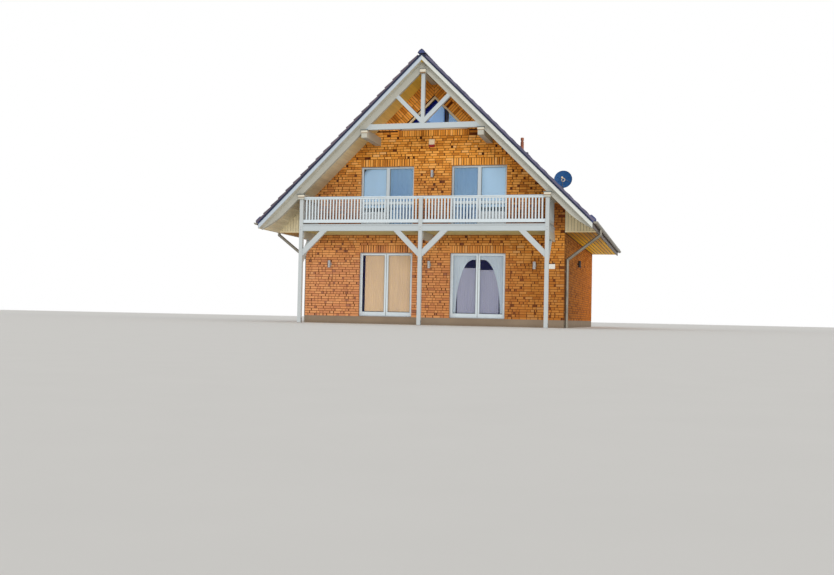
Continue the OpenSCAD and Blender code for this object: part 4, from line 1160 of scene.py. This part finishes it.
# Dish, flue and vent on the right slope
def dish():
    x, y, r, tilt = 3.64, 1.5, 0.35, radians(10)
    up = Vector((0, sin(tilt), cos(tilt)))
    at = plane((x, y, roof(x) + 0.51), X, up)
    bowl, rim, metal, head = Shape(), Shape(), Shape(), Shape()
    steps = 14
    face = [(TIP + (r - 0.003) * i / steps, -0.068 + 0.068 * (i / steps) ** 2) for i in range(steps + 1)]
    bowl.turned(at, face + [(s, d - 0.004) for s, d in reversed(face)], 56)
    rim.turned(at, mm((346.5, -6), (349.5, -6), (350, 0), (348.5, 4), (344, 4), (342.5, 0)), 56, True)
    for i in range(8):
        a = radians(22.5 + 45 * i)
        bowl.rod(at(0.05 * cos(a), 0.05 * sin(a), -0.073),
                 at(0.27 * cos(a), 0.27 * sin(a), -0.0245), 0.005, 8)
    foot = (x, y + 0.1, roof(x) - 0.03)
    metal.rod(foot, (x, y + 0.1, roof(x) + 0.5), 0.024, 20, 0.003)
    metal.turned(facing_up(*foot), mm((25, 0), (100, 0), (75, 20), (34, 70), (30, 90), (25, 90)), 24, True)
    metal.slab(at, plate(0.05, 0.06, 0.02), -0.125, -0.07, 0.004)
    for v in (-0.04, 0.04):
        metal.rod(at(-0.07, v, -0.1), at(0.07, v, -0.1), 0.006, 10)
    metal.rod(at(0, -0.33, -0.012), at(0, -0.05, 0.345), 0.011, 14, 0.002)
    for side in (-1, 1):
        metal.rod(at(side * 0.27, -0.12, -0.015), at(side * 0.02, -0.045, 0.3), 0.004, 8)
    head.turned(plane(at(0, -0.04, 0.27), X, up),
                mm((0, 0), (34, 0), (36, 4), (36, 22), (30, 26), (24, 30), (24, 70),
                   (28, 75), (30, 85), (30, 118), (26, 120), (0, 120)), 28)
    head.box(at(-0.03, -0.055, 0.34) - Vector((0, 0.02, 0.02)),
             at(0.03, -0.055, 0.34) + Vector((0, 0.03, 0.03)), 0.006)
    head.turned(plane(at(0, 0, -0.066), X, up), mm((52, 0), (75, 0), (77, 3), (50, 3)), 40, True)
    make("dish_bowl", bowl, dish_blue, smooth=35, stands_for=["satellite_dish"])
    make("dish_rim", rim, dish_rim, smooth=35)
    make("dish_arm_and_pole", metal, steel, smooth=35)
    make("dish_receiver", head, box_white, smooth=35)


dish()
pipe, vent = Shape(), Shape()
flue_foot, vent_foot = (facing_up(x, -0.85, roof(x) - 0.07) for x in (2.385, 2.565))
pipe.turned(flue_foot, mm((61, 0), (150, -30), (130, 20), (75, 90), (68, 130), (61, 130)), 32, True)
flue = mm((50, 0), (60, 0), (60, 360), (56, 366), (56, 372), (59.5, 378), (59.5, 410), (44, 425),
          (44, 455), (59.5, 465), (59.5, 545), (52, 562), (30, 567), (30, 550), (40, 540), (40, 0))
pipe.turned(flue_foot, flue, 32, True)
vent.turned(vent_foot, mm((48, 0), (130, -30), (110, 20), (62, 60), (55, 80), (48, 80)), 28, True)
vent.turned(vent_foot, mm((38, 0), (48, 0), (48, 130), (55, 140), (55, 175), (50, 190), (30, 205),
                          (0, 208), (0, 160), (38, 150)), 28)
make("flue_pipe", pipe, flue_brown, smooth=35, stands_for=["roof_pipes"])
make("roof_vent", vent, black_metal, smooth=35)

# Gutters, pipes and timber fittings
shape = Shape()
for sign in (-1, 1):
    for k in range(19):
        at = plane((sign * GUTTER_X, -6.45 + 12.9 * k / 18, GUTTER_Z), X, Z)
        strap = [(u, v * 1.065) for u, v in arc(GUTTER_R, 16, -180, 180)]
        strap += arc(GUTTER_R - 0.001, 16, 0, -180)
        shape.bent([[at(u, min(v, 0.0), d) for u, v in strap] for d in (-0.013, 0.013)])
    for y, out in ((-6.64, -1), (6.64, 1)):
        cap = arc(GUTTER_R - 0.001, 20, -180 if out < 0 else 0, 180)
        shape.slab(plane((sign * GUTTER_X, y, GUTTER_Z), X, Z * -out), cap, -0.002, 0.012, 0.004)
    lean = Vector((sign * (PIPE_X - GUTTER_X), 0, 2.21 - 3.025)).normalized()
    bend = Vector((sign * GUTTER_X, PIPE_Y, 3.025))
    collars = [(bend + Z * 0.075, Z), (bend + lean * 0.09, lean)]
    collars += [(Vector((sign * PIPE_X, PIPE_Y, z)), Z) for z in (2.12, 1.1)]
    for start, way in collars:
        shape.rod(start, start + way * 0.05, 0.0535, 24, 0.002)
    x = sign * PIPE_X
    for z in (0.5, 1.89):
        shape.turned(facing_up(x, PIPE_Y, z), mm((50.5, 0), (54.5, 0), (54.5, 30), (50.5, 30)), 24, True)
        shape.box((x - 0.012, PIPE_Y - 0.07, z + 0.003), (x + 0.012, PIPE_Y - 0.04, z + 0.027), 0.003)
make("gutter_brackets_and_collars", shape, zinc, smooth=35)


def end_cap(shape, x, back, z, *layers):
    """Boxes over the end of a purlin, each with its half width, front, foot, head, edge and part."""
    for half, front, low, high, edge, part in layers:
        shape.box((x - half, front, z + low), (x + half, back, z + high), edge, part=part)


shape = Shape()
for sign in (-1, 1):
    for x, z in ((sign * POST_X, roof(POST_X, RAFTER_FOOT) + 0.03), (sign * 1.9196, 6.3)):
        end_cap(shape, x, -6.395, z, (0.125, -6.478, -0.03, -0.002, 0.004, 1),
                (0.109, -6.466, -0.1, -0.03, 0.006, 0), (0.099, -6.458, -0.118, -0.1, 0.003, 2))
end_cap(shape, 0, -6.4, RIDGE - RAFTER_FOOT - 0.13, (0.088, -6.462, -0.001, 0.036, 0.004, 2),
        (0.1, -6.474, 0.036, 0.13, 0.008, 0), (0.106, -6.479, 0.13, 0.14, 0.003, 1))
# part 2, the brown seat under each cap, is painted shade
make("purlin_end_caps", shape, [cap_cream, lead_grey, seat_brown])

# steel shoes under the posts, bolts at the ends of the knee braces, and two more at each post's head
shoes, bolts = Shape(), Shape()
half, shoe = POST / 2, POST / 2 + 0.004
brace_ends = ((0.135, 2.27), (0.82, 2.955), (POST_X - 0.135, 2.27), (POST_X - 0.82, 2.955))
spots = [(side * x, POST_Y - 0.045, z) for x, z in brace_ends for side in (-1, 1)]
for x in (-POST_X, 0.0, POST_X):
    shoes.box((x - shoe, POST_Y - shoe, 0.0), (x + shoe, POST_Y + shoe, 0.012))
    for side in (-1, 1):
        a, b = sorted((x + side * half, x + side * (half + 0.005)))
        shoes.box((a, POST_Y - 0.04, 0.0), (b, POST_Y + 0.04, 0.16))
        for z in (0.06, 0.125):
            shoes.rod((x + side * shoe, POST_Y, z), (x + side * (shoe + 0.008), POST_Y, z), 0.011, 6)
    spots += [(x, POST_Y - half, z) for z in (3.055, 3.135)]
for spot in spots:
    bolts.turned(facing_front(*spot), mm((0, 0), (16, 0), (16, 2), (10.5, 3), (10.5, 8), (0, 9.5)), 12)
make("post_shoes", shoes, steel, smooth=35)
make("timber_bolts", bolts, steel, smooth=35)


# Light, floor and camera
def studio():
    scene = bpy.context.scene
    scene.view_settings.view_transform = "Standard"
    world = bpy.data.worlds.new("studio")
    scene.world = world
    world.use_nodes = True
    sky = Nodes(world.node_tree)
    rays = [sky.node("ShaderNodeLightPath", out=k)
            for k in ("Is Camera Ray", "Is Glossy Ray", "Is Transmission Ray")]
    seen = (rays[0] + rays[1] + rays[2]).clear()
    back = world.node_tree.nodes["Background"]
    sky.feed(back, "Color", (1.0, 1.0, 1.0, 1.0))
    sky.feed(back, "Strength", 0.72 + seen * 0.28)

    for name, spot, energy, softness, colour in (
            ("soft_sun", (12, -40, 11), 1.0, 20, (1, 1, 1)),
            ("left_light", (-30, -26, 6), 0.66, 30, (1.0, 0.95, 0.86)),
            ("side_sun", (30, -8, 10), 0.5, 20, (1.0, 0.88, 0.7)),
            ("bounced_light", (25, -26, -20), 0.75, 40, (1.0, 0.92, 0.78))):
        data = bpy.data.lights.new(name, "SUN")
        data.energy, data.color, data.angle = energy, colour, radians(softness)
        sun = bpy.data.objects.new(name, data)
        scene.collection.objects.link(sun)
        sun.location = spot
        sun.rotation_euler = (Vector((0, 0, 3)) - Vector(spot)).to_track_quat("-Z", "Y").to_euler()

    mesh = bpy.data.meshes.new("pale_floor")
    mesh.from_pydata([(-150, -120, 0), (150, -120, 0), (150, 150, 0), (-150, 150, 0)], [], [(0, 1, 2, 3)])
    cover = Finish("pale_floor", Specular_IOR_Level=0.1)
    pale = cover.mix(cover.noise(3.0, 3), paint(214, 213, 210), paint(218, 217, 214))
    mesh.materials.append(cover.done(pale, 0.9))
    floor = bpy.data.objects.new("pale_floor", mesh)
    scene.collection.objects.link(floor)
    floor.visible_shadow = False

    yaw, pitch, roll = -0.2541, 0.0298, 0.0209
    ahead = Vector((sin(yaw) * cos(pitch), cos(yaw) * cos(pitch), sin(pitch)))
    right = Vector((cos(yaw), -sin(yaw), 0))
    up = right.cross(ahead)
    side = right * cos(roll) + up * sin(roll)
    top = up * cos(roll) - right * sin(roll)
    data = bpy.data.cameras.new("camera")
    focal, photo_width = 1000, 834  # in pixels
    data.sensor_width, data.lens, data.clip_end = 36.0, focal / photo_width * 36.0, 500.0
    camera = bpy.data.objects.new("camera", data)
    scene.collection.objects.link(camera)
    turn = Matrix((side, top, -ahead)).transposed().to_4x4()
    camera.matrix_world = Matrix.Translation((7.9455, -37.2087, 0.25)) @ turn
    scene.camera = camera


studio()
